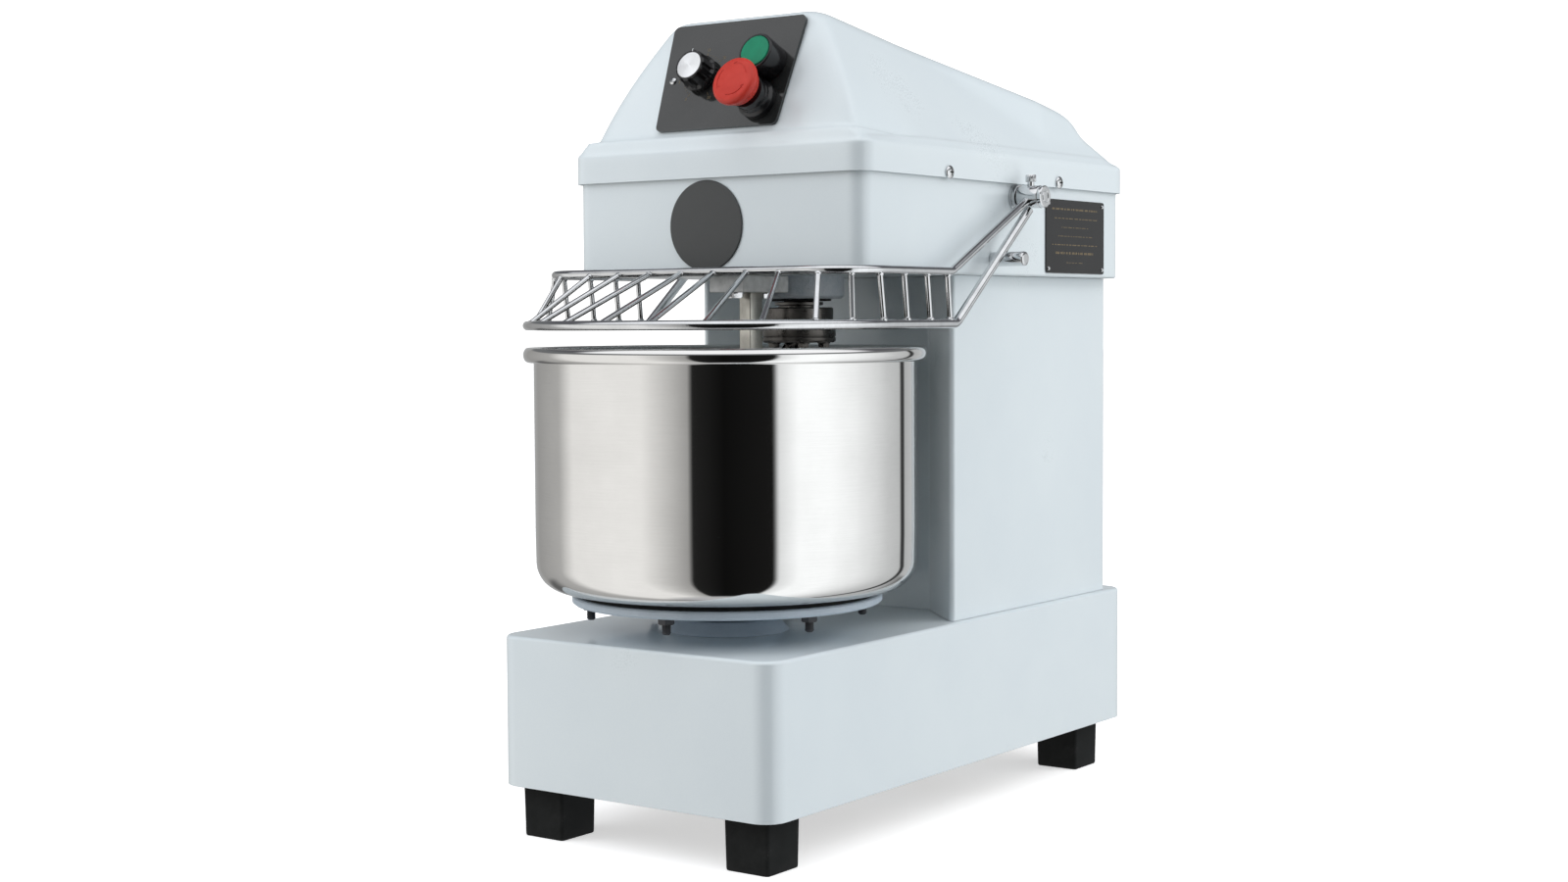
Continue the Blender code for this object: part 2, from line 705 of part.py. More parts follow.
def badge_disc(paint):
    """Plain round badge on the front of the head, left without any mark."""
    profile = [(0, 0), (42.6, 0), (42.6, 1.0), (42.0, 1.5), (0, 1.5)]
    plate = lathe(profile, steps=36)
    bmesh.ops.rotate(plate, verts=plate.verts, matrix=Matrix.Rotation(pi / 2, 3, "X"))
    bmesh.ops.translate(plate, verts=plate.verts, vec=(-7.0, HEAD_FRONT - GAP, 576.5))
    return mesh_object("badge_disc", plate, paint=paint)


def rating_plate(paint):
    corners = [(465.5, 534.0), (591.0, 534.0), (591.0, 609.5), (465.5, 609.5)]
    plate = prism(rounded(corners, [3.0] * 4, 3), 0.0, 1.2)
    for vertex in plate.verts:
        depth, height, out = vertex.co
        vertex.co = (HEAD_HALF_WIDTH + GAP + out, depth, height)
    return mesh_object("rating_plate", plate, paint=paint)


def lid_screw(name, side, depth, paint):
    """Pan-head screw that holds the cover's skirt to the head."""
    face = COVER_HALF_WIDTH + GAP
    profile = [(0, face - 10.0), (3.0, face - 10.0), (3.0, face), (6.6, face),
               (6.3, face + 1.6), (4.5, face + 3.0), (0, face + 3.5)]
    body = across(lathe(profile, steps=12), depth, SCREW_HEIGHT, side)
    return mesh_object(name, body, paint=paint)


def guard_pivot(name, side, paint):
    """Fixed pin and flange that the guard's collar turns on."""
    wall = HEAD_HALF_WIDTH + GAP
    profile = [(0, wall - 9.0), (6.0, wall - 9.0), (6.0, wall), (12.8, wall), (12.8, wall + 6.0),
               (6.0, wall + 6.0), (6.0, 199.6), (10.9, 199.6), (10.9, 203.0), (9.9, 204.0),
               (0, 204.0)]
    return mesh_object(name, across(lathe(profile, steps=14), PIVOT_DEPTH, PIVOT_HEIGHT, side),
                       paint=paint)


def stop_peg(name, side, paint):
    """Round peg that the guard's arm rests on when the guard is down."""
    wall = HEAD_HALF_WIDTH + GAP
    profile = [(0, wall), (7.1, wall), (7.1, 205.0), (6.2, 206.2), (0, 206.6)]
    return mesh_object(name, across(lathe(profile, steps=16), REST_DEPTH, REST_HEIGHT, side), paint=paint)


def breaker_bar(paint):
    """Fixed dough bar at the middle of the bowl, on its bolted flange."""
    top = HEAD_BOTTOM - GAP
    flange_bottom = 513.8
    flange = mesh_object("breaker_bar", block(-20.5, 20.5, 151.0, 224.0, flange_bottom, top),
                         paint=paint)
    bar = block(-7.0, 7.0, 180.0, 200.0, 252.0, flange_bottom + 4)
    lowest = [edge for edge in bar.edges if all(v.co.z < 253 for v in edge.verts)]
    bmesh.ops.bevel(bar, geom=lowest, offset=3.0, segments=2, affect="EDGES")
    heads = [cutter(prism(circle(0, depth, 8.6, 6), flange_bottom - 5.6, flange_bottom + 3))
             for depth in (165.0, 213.0)]
    return weld(flange, cutter(bar), *heads)


# ---------------------------------------------------------------- hook and its bearings

def spindle_housing(paint):
    """Cast bearing housing, flanged on the head's floor and showing below it."""
    bottom = 508.2
    floor = HEAD_BOTTOM + SHEET + GAP
    profile = [(17.0, bottom), (43.0, bottom), (45.0, bottom + 2.0), (45.0, floor),
               (60.0, floor), (60.0, floor + 10), (40.0, floor + 14), (38.0, 592.0),
               (26.3, 592.0), (26.3, bottom + 4), (17.0, bottom + 4)]
    return mesh_object("spindle_housing", lathe(profile, (0, HOOK_DEPTH), closed=True),
                       paint=paint)


def bearing(name, depth, bore, outer, bottom, thickness, paint):
    """Sealed ball bearing, as one closed ring with a lead-in chamfer on its outer race."""
    top = bottom + thickness
    profile = [(bore, bottom), (outer - 1.2, bottom), (outer, bottom + 1.2), (outer, top),
               (bore, top)]
    return mesh_object(name, lathe(profile, (0, depth), closed=True), paint=paint)


def spindle_seal(paint):
    profile = [(15.6, 506.0), (32.0, 506.0), (32.0, 507.9), (15.6, 507.9)]
    return mesh_object("spindle_seal", lathe(profile, (0, HOOK_DEPTH), closed=True),
                       paint=paint)


def spindle(paint):
    """Hook spindle with its lower coupling disc and the sprocket on top."""
    profile = [(0, 479.6), (33.0, 479.6), (34.0, 480.6), (34.0, 498.4), (32.8, 499.6),
               (20.0, 499.6), (20.0, 505.4), (15.0, 505.4), (15.0, 511.0), (12.5, 511.0),
               (12.5, HIGH_CHAIN - 8), (20.0, HIGH_CHAIN - 8), (20.0, HIGH_CHAIN + 14),
               (12.5, HIGH_CHAIN + 14), (12.5, 632.0), (11.5, 633.0), (0, 633.0)]
    origin = (0.0, HOOK_DEPTH, 500.0)
    shaft = mesh_object("spindle", lathe(profile, (0, HOOK_DEPTH)), origin, paint)
    wheel = prism(toothed(HOOK_DEPTH, HOOK_TEETH), HIGH_CHAIN, HIGH_CHAIN + 7)
    return weld(shaft, cutter(wheel))


def hook_path():
    """Centre line of the spiral bar: out from the hub, then down round the sweep radius."""
    turns = 1.35
    count = 28
    top = 470.0
    path = []
    for step in range(count + 1):
        share = step / count
        out = min(1.0, share / 0.24)
        reach = HOOK_SWEEP * sin(out * pi / 2)
        tail = max(0.0, (share - 0.86) / 0.14)
        reach -= 12.0 * tail * tail
        angle = radians(-70) - 2 * pi * turns * share ** 1.1
        drop = (1 - cos(min(1.0, share / 0.2) * pi / 2)) * 0.12 + 0.88 * share ** 0.92
        path.append(Vector((reach * cos(angle), HOOK_DEPTH + reach * sin(angle),
                            top - (top - HOOK_TIP) * drop)))
    return path


def spiral_hook(paint):
    """Forged spiral with its bolted flange."""
    path = hook_path()
    last = len(path) - 1
    thickness = [HOOK_BAR * (1.0 - 0.45 * max(0.0, (index - last + 5) / 5) ** 1.5)
                 for index in range(len(path))]
    origin = (0.0, HOOK_DEPTH, 500.0)
    disc = [(0, 465.0), (34.5, 465.0), (36.5, 467.0), (36.5, 477.6), (35.3, 479.2), (0, 479.2)]
    made = mesh_object("spiral_hook", lathe(disc, (0, HOOK_DEPTH), 24), origin, paint)
    heads = []
    for corner in range(4):
        angle = pi / 4 + corner * pi / 2
        place = (25.0 * cos(angle), HOOK_DEPTH + 25.0 * sin(angle))
        heads.append(cutter(prism(circle(*place, 6.2, 6), 460.0, 467.0)))
    return weld(made, cutter(sweep(path, thickness, 8)), *heads)


# ---------------------------------------------------------------- bowl and turntable

def bowl(paint):
    """Pressed bowl with a rolled rim."""
    inner = BOWL_RADIUS - BOWL_WALL
    floor = BOWL_BOTTOM + BOWL_WALL
    profile = [(0, BOWL_BOTTOM)]
    for step in range(5):
        angle = pi / 2 * step / 4
        profile.append((BOWL_RADIUS - 0.6 - BOWL_CORNER * (1 - sin(angle)),
                        BOWL_BOTTOM + BOWL_CORNER * (1 - cos(angle))))
    neck = BOWL_RIM - 2 * RIM_HALF_HEIGHT - 1.5
    profile.append((BOWL_RADIUS, neck))
    centre = (BOWL_RADIUS + RIM_HALF_WIDTH, BOWL_RIM - RIM_HALF_HEIGHT)
    for step in range(5):
        angle = radians(215) + radians(235) * step / 4
        profile.append((centre[0] + RIM_HALF_WIDTH * cos(angle),
                        centre[1] + RIM_HALF_HEIGHT * sin(angle)))
    profile += [(BOWL_RADIUS + 1.5, BOWL_RIM - 0.8), (inner, BOWL_RIM - 4.0), (inner, neck)]
    for step in range(4):
        angle = pi / 2 * (1 - step / 3)
        profile.append((inner - 0.6 - (BOWL_CORNER - BOWL_WALL) * (1 - sin(angle)),
                        floor + (BOWL_CORNER - BOWL_WALL) * (1 - cos(angle))))
    profile.append((0, floor))
    origin = (0.0, BOWL_DEPTH, BOWL_BOTTOM)
    return mesh_object("bowl", lathe(profile, (0, BOWL_DEPTH), 40), origin, paint)


def bowl_pad(paint):
    profile = [(40.0, TURNTABLE_TOP + GAP), (143.0, TURNTABLE_TOP + GAP),
               (143.0, BOWL_BOTTOM - GAP), (40.0, BOWL_BOTTOM - GAP)]
    origin = (0.0, BOWL_DEPTH, BOWL_BOTTOM)
    return mesh_object("bowl_pad", lathe(profile, (0, BOWL_DEPTH), 32, closed=True), origin, paint)


def turntable(paint):
    """Disc that carries the bowl, with its hub and the studs that hold the bowl to it."""
    profile = [(0, 216.0), (15.4, 216.0), (15.4, 206.6), (44.0, 206.6), (45.0, 207.6),
               (45.0, TURNTABLE_BOTTOM), (TURNTABLE_RADIUS - 2.5, TURNTABLE_BOTTOM),
               (TURNTABLE_RADIUS, TURNTABLE_BOTTOM + 2.0), (TURNTABLE_RADIUS, TURNTABLE_TOP - 1.5),
               (TURNTABLE_RADIUS - 1.5, TURNTABLE_TOP), (0, TURNTABLE_TOP)]
    origin = (0.0, BOWL_DEPTH, BOWL_BOTTOM)
    made = mesh_object("turntable", lathe(profile, (0, BOWL_DEPTH), 30), origin, paint)
    tools = []
    for index in range(STUD_COUNT):
        angle = radians(42) + 2 * pi * index / STUD_COUNT
        place = (STUD_CIRCLE * cos(angle), BOWL_DEPTH + STUD_CIRCLE * sin(angle))
        tools.append(cutter(prism(circle(*place, STUD_RADIUS, 8), STUD_BOTTOM, 215.0)))
        tools.append(cutter(prism(circle(*place, NUT_RADIUS, 6), 213.5, TURNTABLE_BOTTOM + 2)))
    return weld(made, *tools)


def bowl_hub(paint):
    """Bearing hub of the turntable: a cone on top of the base and a tube inside it."""
    top = 205.0
    seat = BASE_TOP + GAP
    profile = [(59.0, seat), (48.5, top), (31.3, top), (31.3, 188.0), (27.0, 188.0),
               (27.0, 132.0), (31.3, 132.0), (31.3, 114.0), (44.0, 114.0), (44.0, seat)]
    return mesh_object("bowl_hub", lathe(profile, (0, BOWL_DEPTH), closed=True), paint=paint)


def bowl_shaft(paint):
    """Turntable shaft with the large sprocket of the lower chain."""
    profile = [(0, 84.0), (14.0, 84.0), (15.0, 85.0), (15.0, LOW_CHAIN - 6),
               (26.0, LOW_CHAIN - 6), (26.0, LOW_CHAIN + 14), (15.0, LOW_CHAIN + 14),
               (15.0, 215.6), (0, 215.6)]
    origin = (0.0, BOWL_DEPTH, BOWL_BOTTOM)
    shaft = mesh_object("bowl_shaft", lathe(profile, (0, BOWL_DEPTH)), origin, paint)
    wheel = prism(toothed(BOWL_DEPTH, BOWL_TEETH), LOW_CHAIN, LOW_CHAIN + 7)
    return weld(shaft, cutter(wheel))


# ---------------------------------------------------------------- drive train

def layshaft(paint):
    """Upright shaft through the column, with the small sprocket of each chain."""
    low, high = LOW_CHAIN, HIGH_CHAIN
    profile = [(0, 62.0), (12.5, 62.0), (12.5, low - 6), (14.0, low - 6), (14.0, low + 14),
               (12.5, low + 14), (12.5, high - 8), (22.0, high - 8), (22.0, high + 14),
               (12.5, high + 14), (12.5, 666.0), (0, 666.0)]
    origin = (0.0, LAYSHAFT_DEPTH, PULLEY_BOTTOM)
    shaft = mesh_object("layshaft", lathe(profile, (0, LAYSHAFT_DEPTH), 16), origin, paint)
    small = prism(toothed(LAYSHAFT_DEPTH, LAYSHAFT_LOW_TEETH), low, low + 7)
    large = prism(toothed(LAYSHAFT_DEPTH, LAYSHAFT_HIGH_TEETH), high, high + 7)
    return weld(shaft, cutter(small), cutter(large))


def grooved(radius, bore):
    """Profile of a V-belt pulley from its bore out."""
    middle = (PULLEY_BOTTOM + PULLEY_TOP) / 2
    return [(bore, PULLEY_BOTTOM), (radius, PULLEY_BOTTOM), (radius, middle - 6.8),
            (radius - 9.0, middle - 4.4), (radius - 9.0, middle + 4.4), (radius, middle + 6.8),
            (radius, PULLEY_TOP), (bore, PULLEY_TOP)]


def layshaft_pulley(paint):
    origin = (0.0, LAYSHAFT_DEPTH, PULLEY_BOTTOM)
    bm = lathe(grooved(BIG_PULLEY_RADIUS, 12.5 + GAP), (0, LAYSHAFT_DEPTH), 28, closed=True)
    return mesh_object("layshaft_pulley", bm, origin, paint)


def motor_rotor(paint):
    """Motor shaft with its belt pulley."""
    profile = [(0, 478.0), (9.5, 478.0), (9.5, PULLEY_BOTTOM)]
    profile += grooved(SMALL_PULLEY_RADIUS, 9.5)[1:-1]
    profile += [(9.5, PULLEY_TOP), (9.5, 664.0), (0, 664.0)]
    origin = (0.0, MOTOR_DEPTH, PULLEY_BOTTOM)
    return mesh_object("motor_rotor", lathe(profile, (0, MOTOR_DEPTH), 20), origin, paint)


def motor_body(paint):
    """Upright motor: end shields, finned barrel, and the bore that its shaft runs in."""
    fins = 11
    turns = [2 * pi * (fin + share) / fins for fin in range(fins) for share in (0, 0.3, 0.4, 0.9)]

    def ring(height, radius, groove=0.0):
        reaches = [radius, radius, radius - groove, radius - groove] * fins
        return [(reach * cos(turn), MOTOR_DEPTH + reach * sin(turn), height)
                for reach, turn in zip(reaches, turns)]

    bm = loft([ring(300, 47), ring(307, 56), ring(322, 56), ring(322, 62, 4.5),
               ring(466, 62, 4.5), ring(466, 56), ring(477, 56), ring(489.6, 34),
               ring(489.6, 9.8), ring(474, 9.8)])
    return mesh_object("motor_body", bm, paint=paint)


def motor_bracket(paint):
    """Folded plate that hangs the motor from the column's side walls."""
    low = 490.0
    reach = COLUMN_HALF_WIDTH - SHEET - GAP
    plate = mesh_object("motor_bracket", block(-reach, reach, 492.0, 618.0, low, low + 5),
                        paint=paint)
    for side in (-1, 1):
        inner, outer = sorted((side * reach, side * (reach - 4)))
        weld(plate, cutter(block(inner, outer, 492.0, 618.0, low - 32, low + 3)))
    nose = cutter(prism(circle(0, MOTOR_DEPTH, 20.0, 28), low - 5, low + 10))
    cable = cutter(prism(circle(120, 600, 9.0, 8), low - 5, low + 10))
    return cut(plate, nose, cable)


def flange_bearing(name, bottom, paint):
    """Flanged bearing unit of the layshaft."""
    bore = 12.5 + GAP
    profile = [(bore, bottom), (38.0, bottom), (38.0, bottom + 7), (27.0, bottom + 9),
               (25.0, bottom + 18), (bore, bottom + 18)]
    return mesh_object(name, lathe(profile, (0, LAYSHAFT_DEPTH), 16, closed=True), paint=paint)


def drive_band(name, near, near_radius, far, far_radius, bottom, top, thickness, slope, paint):
    """Belt or chain as one closed band; slope narrows its inner side, as on a V-belt."""
    inner = around_wheels(near, near_radius, far, far_radius)
    outer = around_wheels(near, near_radius + thickness, far, far_radius + thickness)
    bm = loft([at_height(inner, bottom + slope), at_height(outer, bottom), at_height(outer, top),
               at_height(inner, top - slope)], ring=True)
    return mesh_object(name, bm, paint=paint)


def sprocket_tip(teeth):
    return CHAIN_PITCH / 2 / sin(pi / teeth) + 2.6


def v_belt(paint):
    middle = (PULLEY_BOTTOM + PULLEY_TOP) / 2
    return drive_band("v_belt", LAYSHAFT_DEPTH, BIG_PULLEY_RADIUS - 8.6, MOTOR_DEPTH,
                      SMALL_PULLEY_RADIUS - 8.6, middle - 6.0, middle + 6.0, 8.4, 2.2, paint)


def upper_chain(paint):
    return drive_band("upper_chain", HOOK_DEPTH, sprocket_tip(HOOK_TEETH) + GAP, LAYSHAFT_DEPTH,
                      sprocket_tip(LAYSHAFT_HIGH_TEETH) + GAP, HIGH_CHAIN - 1, HIGH_CHAIN + 8,
                      5.0, 0.0, paint)


def lower_chain(paint):
    return drive_band("lower_chain", BOWL_DEPTH, sprocket_tip(BOWL_TEETH) + GAP, LAYSHAFT_DEPTH,
                      sprocket_tip(LAYSHAFT_LOW_TEETH) + GAP, LOW_CHAIN - 1, LOW_CHAIN + 8,
                      5.0, 0.0, paint)


def contactor(paint):
    """Motor switchgear on the rear wall of the head."""
    rear = HEAD_REAR - SHEET - GAP
    bm = block(95.0, 145.0, rear - 48, rear, 566.0, 618.0)
    bmesh.ops.bevel(bm, geom=bm.edges[:], offset=1.5, segments=1, affect="EDGES")
    return mesh_object("contactor", bm, paint=paint)


def supply_wiring(paint):
    """Inner wiring from the cord gland up the column to the switchgear."""
    corners = [(120.0, BASE_LENGTH - 13.0, 120.0), (120.0, 600.0, 120.0), (120.0, 600.0, 565.6)]
    path = bent_path(corners, [18.0])
    return mesh_object("supply_wiring", sweep(path, 4.0, 10), paint=paint)


# ---------------------------------------------------------------- wire guard

def lower_ring_point(turn):
    """Point of the lower ring, by the angle from straight ahead of the bowl's axis."""
    return Vector((GUARD_HALF_WIDTH * sin(turn), BOWL_DEPTH - GUARD_HALF_WIDTH * cos(turn),
                   LOWER_RING))


def lower_ring():
    side = GUARD_HALF_WIDTH
    left = bent_path([(-side, 400.0, 594.6), (-side, LOWER_BEND, LOWER_RING),
                      (-side, BOWL_DEPTH + 5, LOWER_RING)], [14.0])
    arc = [lower_ring_point(radians(-90 + 180 * step / 18)) for step in range(19)]
    right = [Vector((-point.x, point.y, point.z)) for point in reversed(left)]
    return left[:-1] + arc + right[1:]


def upper_ring():
    side = GUARD_HALF_WIDTH
    corners = [(-side, 396.0, 603.4), (-side, UPPER_BEND, UPPER_RING),
               (-side, UPPER_RING_FRONT, UPPER_RING), (side, UPPER_RING_FRONT, UPPER_RING),
               (side, UPPER_BEND, UPPER_RING), (side, 396.0, 603.4)]
    return bent_path(corners, [14.0, UPPER_RING_CORNER, UPPER_RING_CORNER, 14.0], 5)


def rungs():
    """End points of the bars between the rings: nine across the front, five down each side."""
    pairs = []
    for place, x in zip(range(-4, 5), (-150, -110, -74, -37, 0, 37, 74, 110, 150)):
        depth = UPPER_RING_FRONT
        if abs(x) == 150:
            depth += UPPER_RING_CORNER * (1 - cos(asin(18 / UPPER_RING_CORNER)))
        pairs.append(((x, depth, UPPER_RING), lower_ring_point(radians(15.5 * place))))
    corner = UPPER_RING_FRONT + UPPER_RING_CORNER
    turned = radians(50)
    bend = (GUARD_HALF_WIDTH - UPPER_RING_CORNER * (1 - sin(turned)),
            corner - UPPER_RING_CORNER * cos(turned))
    for side in (-1, 1):
        pairs.append(((side * bend[0], bend[1], UPPER_RING),
                      (side * 179.8, 98.1, LOWER_RING)))
        for top, bottom in ((131.0, 138.0), (171.0, 177.0), (210.0, 216.0), (246.0, 251.0)):
            pairs.append(((side * GUARD_HALF_WIDTH, top, UPPER_RING),
                          (side * GUARD_HALF_WIDTH, bottom, LOWER_RING)))
    return pairs


def guard_collar(side):
    profile = [(6.4, 176.0), (11.2, 176.0), (11.2, 199.2), (6.4, 199.2)]
    return across(lathe(profile, steps=14, closed=True), PIVOT_DEPTH, PIVOT_HEIGHT, side)


def guard(paint):
    """Welded wire guard over the front of the bowl, with the collars that it swings on."""
    origin = (0.0, PIVOT_DEPTH, PIVOT_HEIGHT)
    made = mesh_object("guard", sweep(lower_ring(), LOWER_ROD, 8), origin, paint)
    tools = [cutter(sweep(upper_ring(), UPPER_ROD, 8))]
    tools += [cutter(guard_collar(side)) for side in (-1, 1)]
    tools += [cutter(rod(top, bottom, RUNG, 6)) for top, bottom in rungs()]
    return weld(made, *tools)


def set_screw(name, side, paint):
    """Clamp screw standing on the guard's collar."""
    low = PIVOT_HEIGHT + 11.2 + GAP
    profile = [(0, low), (3.4, low), (3.4, low + 3.5), (5.2, low + 3.5), (5.2, low + 10.0),
               (4.4, low + 10.8), (0, low + 10.8)]
    origin = (0.0, PIVOT_DEPTH, PIVOT_HEIGHT)
    bm = lathe(profile, (side * GUARD_HALF_WIDTH, PIVOT_DEPTH), 12)
    return mesh_object(name, bm, origin, paint)


# ---------------------------------------------------------------- whole machine

def build():
    clear_scene()
    enamel = material("white_enamel", (0.78, 0.83, 0.86), 0.35)
    charcoal = material("charcoal_gloss", (0.075, 0.077, 0.08), 0.18)
    badge = material("badge_grey", (0.045, 0.048, 0.05), 0.45)
    rubber = material("black_rubber", (0.02, 0.021, 0.022), 0.75)
    plastic = material("black_plastic", (0.012, 0.012, 0.013), 0.3)
    green = material("green_plastic", (0.02, 0.26, 0.13), 0.35)
    red = material("red_plastic", (0.62, 0.035, 0.03), 0.35)
    chrome = material("chrome", (0.78, 0.79, 0.8), 0.07, 1.0)
    stainless = material("polished_stainless", (0.66, 0.66, 0.65), 0.16, 1.0)
    dark_steel = material("dark_steel", (0.12, 0.115, 0.11), 0.35, 1.0)
    ground_steel = material("ground_steel", (0.62, 0.6, 0.55), 0.3, 1.0)
    casting = material("painted_casting", (0.42, 0.47, 0.52), 0.55)
    iron = material("cast_iron", (0.09, 0.09, 0.095), 0.6, 0.6)
    motor_paint = material("motor_paint", (0.12, 0.16, 0.2), 0.5)

    base_housing(enamel)
    base_frame(dark_steel)
    for side, x in (("left", -FOOT_X), ("right", FOOT_X)):
        for end, depth in zip(("front", "rear"), FOOT_DEPTHS):
            foot(f"foot_{end}_{side}", x, depth, rubber)
    cord_gland(plastic)
    column_housing(enamel)
    rear_cover(enamel)
    head_housing(enamel)
    top_cover(enamel)

    control_panel(charcoal)
    timer_switch(plastic)
    timer_knob(plastic)
    start_switch(plastic)
    start_button(green)
    stop_switch(plastic)
    stop_button(red)

    badge_disc(badge)
    rating_plate(charcoal)
    for label, side in (("left", -1), ("right", 1)):
        for end, depth in zip(("front", "rear"), SCREW_DEPTHS):
            lid_screw(f"cover_screw_{end}_{label}", side, depth, chrome)
        guard_pivot(f"guard_pivot_{label}", side, dark_steel)
        stop_peg(f"guard_rest_{label}", side, chrome)
        set_screw(f"guard_set_screw_{label}", side, chrome)
    guard(chrome)
    breaker_bar(ground_steel)

    spindle_housing(casting)
    bearing("spindle_bearing_low", HOOK_DEPTH, 12.8, 26.0, 512.6, 15.0, ground_steel)
    bearing("spindle_bearing_high", HOOK_DEPTH, 12.8, 26.0, 575.0, 15.0, ground_steel)
    spindle_seal(rubber)
    spindle(dark_steel)
    spiral_hook(dark_steel)

    bowl(stainless)
    bowl_pad(rubber)
    turntable(casting)
    bowl_hub(casting)
    bearing("bowl_bearing_low", BOWL_DEPTH, 15.3, 31.0, 115.0, 16.0, ground_steel)
    bearing("bowl_bearing_high", BOWL_DEPTH, 15.3, 31.0, 188.4, 16.0, ground_steel)
    bowl_shaft(dark_steel)

    layshaft(dark_steel)
    layshaft_pulley(iron)
    flange_bearing("layshaft_bearing_low", FRAME_BOTTOM + FRAME_THICKNESS + GAP, iron)
    flange_bearing("layshaft_bearing_high", HEAD_BOTTOM + SHEET + GAP, iron)
    motor_body(motor_paint)
    motor_bracket(dark_steel)
    motor_rotor(ground_steel)
    v_belt(rubber)
    upper_chain(dark_steel)
    lower_chain(dark_steel)
    contactor(plastic)
    supply_wiring(rubber)


build()
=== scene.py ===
"""Looks of the spiral dough mixer: fine surfaces, finishes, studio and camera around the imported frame.

Shapes are drawn in the machine's own millimetres, as in its source: x across, depth back from the
front of the base, height up from the floor. They turn into metres, in the frame's place, as each
piece is made. A turned piece is drawn about its own axis and then placed on the machine.
"""
import json
import random
from math import asin, cos, pi, radians, sin, tan

import bmesh
import bpy
import numpy as np
from mathutils import Matrix, Vector, noise

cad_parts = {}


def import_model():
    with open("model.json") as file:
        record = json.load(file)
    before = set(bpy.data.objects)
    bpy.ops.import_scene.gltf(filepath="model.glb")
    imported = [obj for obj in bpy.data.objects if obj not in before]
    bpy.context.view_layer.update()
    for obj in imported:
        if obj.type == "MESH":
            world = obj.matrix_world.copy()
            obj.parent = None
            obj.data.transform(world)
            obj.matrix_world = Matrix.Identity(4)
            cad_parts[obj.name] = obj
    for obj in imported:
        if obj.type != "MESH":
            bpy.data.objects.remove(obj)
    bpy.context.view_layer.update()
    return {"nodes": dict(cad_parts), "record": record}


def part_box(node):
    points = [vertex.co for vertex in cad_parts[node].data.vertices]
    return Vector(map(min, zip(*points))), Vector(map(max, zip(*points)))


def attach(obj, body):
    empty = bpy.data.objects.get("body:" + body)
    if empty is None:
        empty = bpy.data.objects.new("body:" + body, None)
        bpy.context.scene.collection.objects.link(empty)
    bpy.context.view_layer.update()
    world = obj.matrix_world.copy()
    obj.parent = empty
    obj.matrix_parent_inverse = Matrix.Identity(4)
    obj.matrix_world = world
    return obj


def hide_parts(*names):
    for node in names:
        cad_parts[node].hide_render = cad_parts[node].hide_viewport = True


MM = 0.001
SHEET = 2.0  # thickness of the folded sheet
WORN = random.Random(11)  # small irregularities of welds and printing
SIDES = ((-1, "left"), (1, "right"))

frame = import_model()
MIDDLE = -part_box("base_housing")[0].y / MM


class Span:
    """Extent of a CAD node at rest, in the machine's own millimetres."""

    def __init__(self, node):
        low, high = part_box(node)
        self.left, self.right = low.x / MM, high.x / MM
        self.front, self.rear = low.y / MM + MIDDLE, high.y / MM + MIDDLE
        self.bottom, self.top = low.z / MM, high.z / MM
        self.x = (self.left + self.right) / 2
        self.depth = (self.front + self.rear) / 2
        self.height = (self.bottom + self.top) / 2
        self.radius = (self.right - self.left) / 2


BASE = Span("base_housing")
COLUMN = Span("column_housing")
HEAD = Span("head_housing")
COVER = Span("top_cover")
BOWL = Span("bowl")
TABLE = Span("turntable")
HOOK = Span("spindle")
GUARD = Span("guard")
PLATE = Span("rating_plate")

PANEL_FOOT = (136.3, 666.8)  # depth and height of the panel's lower edge
PANEL_TILT = radians(22.0)
PANEL_LENGTH = 112.0
PANEL_HALF_BOTTOM = 70.8
PANEL_HALF_TOP = 78.4
FACE = 3.5  # front of the panel over the lid's nominal face
TIMER_AT = (-29.0, 56.0)
START_AT = (49.0, 62.5)
STOP_AT = (46.0, 24.5)
DIAL_MINUTES = 30

PIVOT = Span("guard_pivot_right")
GUARD_SIDE = GUARD.right - 12.2
LOWER_ROD = 4.5
UPPER_ROD = 4.0
RUNG = 2.6


def world(x, depth, height):
    """World position in metres of a point given in the machine's own millimetres."""
    return Vector((x, depth - MIDDLE, height)) * MM


# ---- places

def upright(depth, x=0.0, height=0.0):
    """Place of a turned piece whose axis stands upright."""
    return Matrix.Translation(world(x, depth, height))


def sideways(side, depth, height):
    """Place of a turned piece whose axis points out of the machine's side; z counts from x = 0."""
    return Matrix.Translation(world(0, depth, height)) @ Matrix.Rotation(side * pi / 2, 4, "Y")


def facing(way, x, depth, height):
    """Place of a piece whose z points out of the machine's front (way 1) or its rear (way -1)."""
    return Matrix.Translation(world(x, depth, height)) @ Matrix.Rotation(way * pi / 2, 4, "X")


def moved(place, x=0.0, up=0.0, out=0.0):
    """Place shifted along its own axes, in millimetres."""
    return place @ Matrix.Translation(Vector((x, up, out)) * MM)


def on_panel(x=0.0, up=0.0, out=0.0):
    """Place on the sloping panel: x across, y up the slope, z out of it."""
    foot = Matrix.Translation(world(0, *PANEL_FOOT)) @ Matrix.Rotation(pi / 2 - PANEL_TILT, 4, "X")
    return moved(foot, x, up, out)


def corners_of(name, half_width, half_height, inset, side_names):
    """Name, x and height of something set in from each corner of a plate."""
    for side, x in zip(side_names, (inset - half_width, half_width - inset)):
        for end, up in (("low", inset - half_height), ("high", half_height - inset)):
            yield f"{name}_{end}_{side}", x, up


# ---- shapes

def spread(start, end, steps):
    """Values at even steps from start to end, with both of them."""
    return [start + (end - start) * step / steps for step in range(steps + 1)]


def full_turn(steps):
    return spread(0.0, 2 * pi, steps)[:-1]


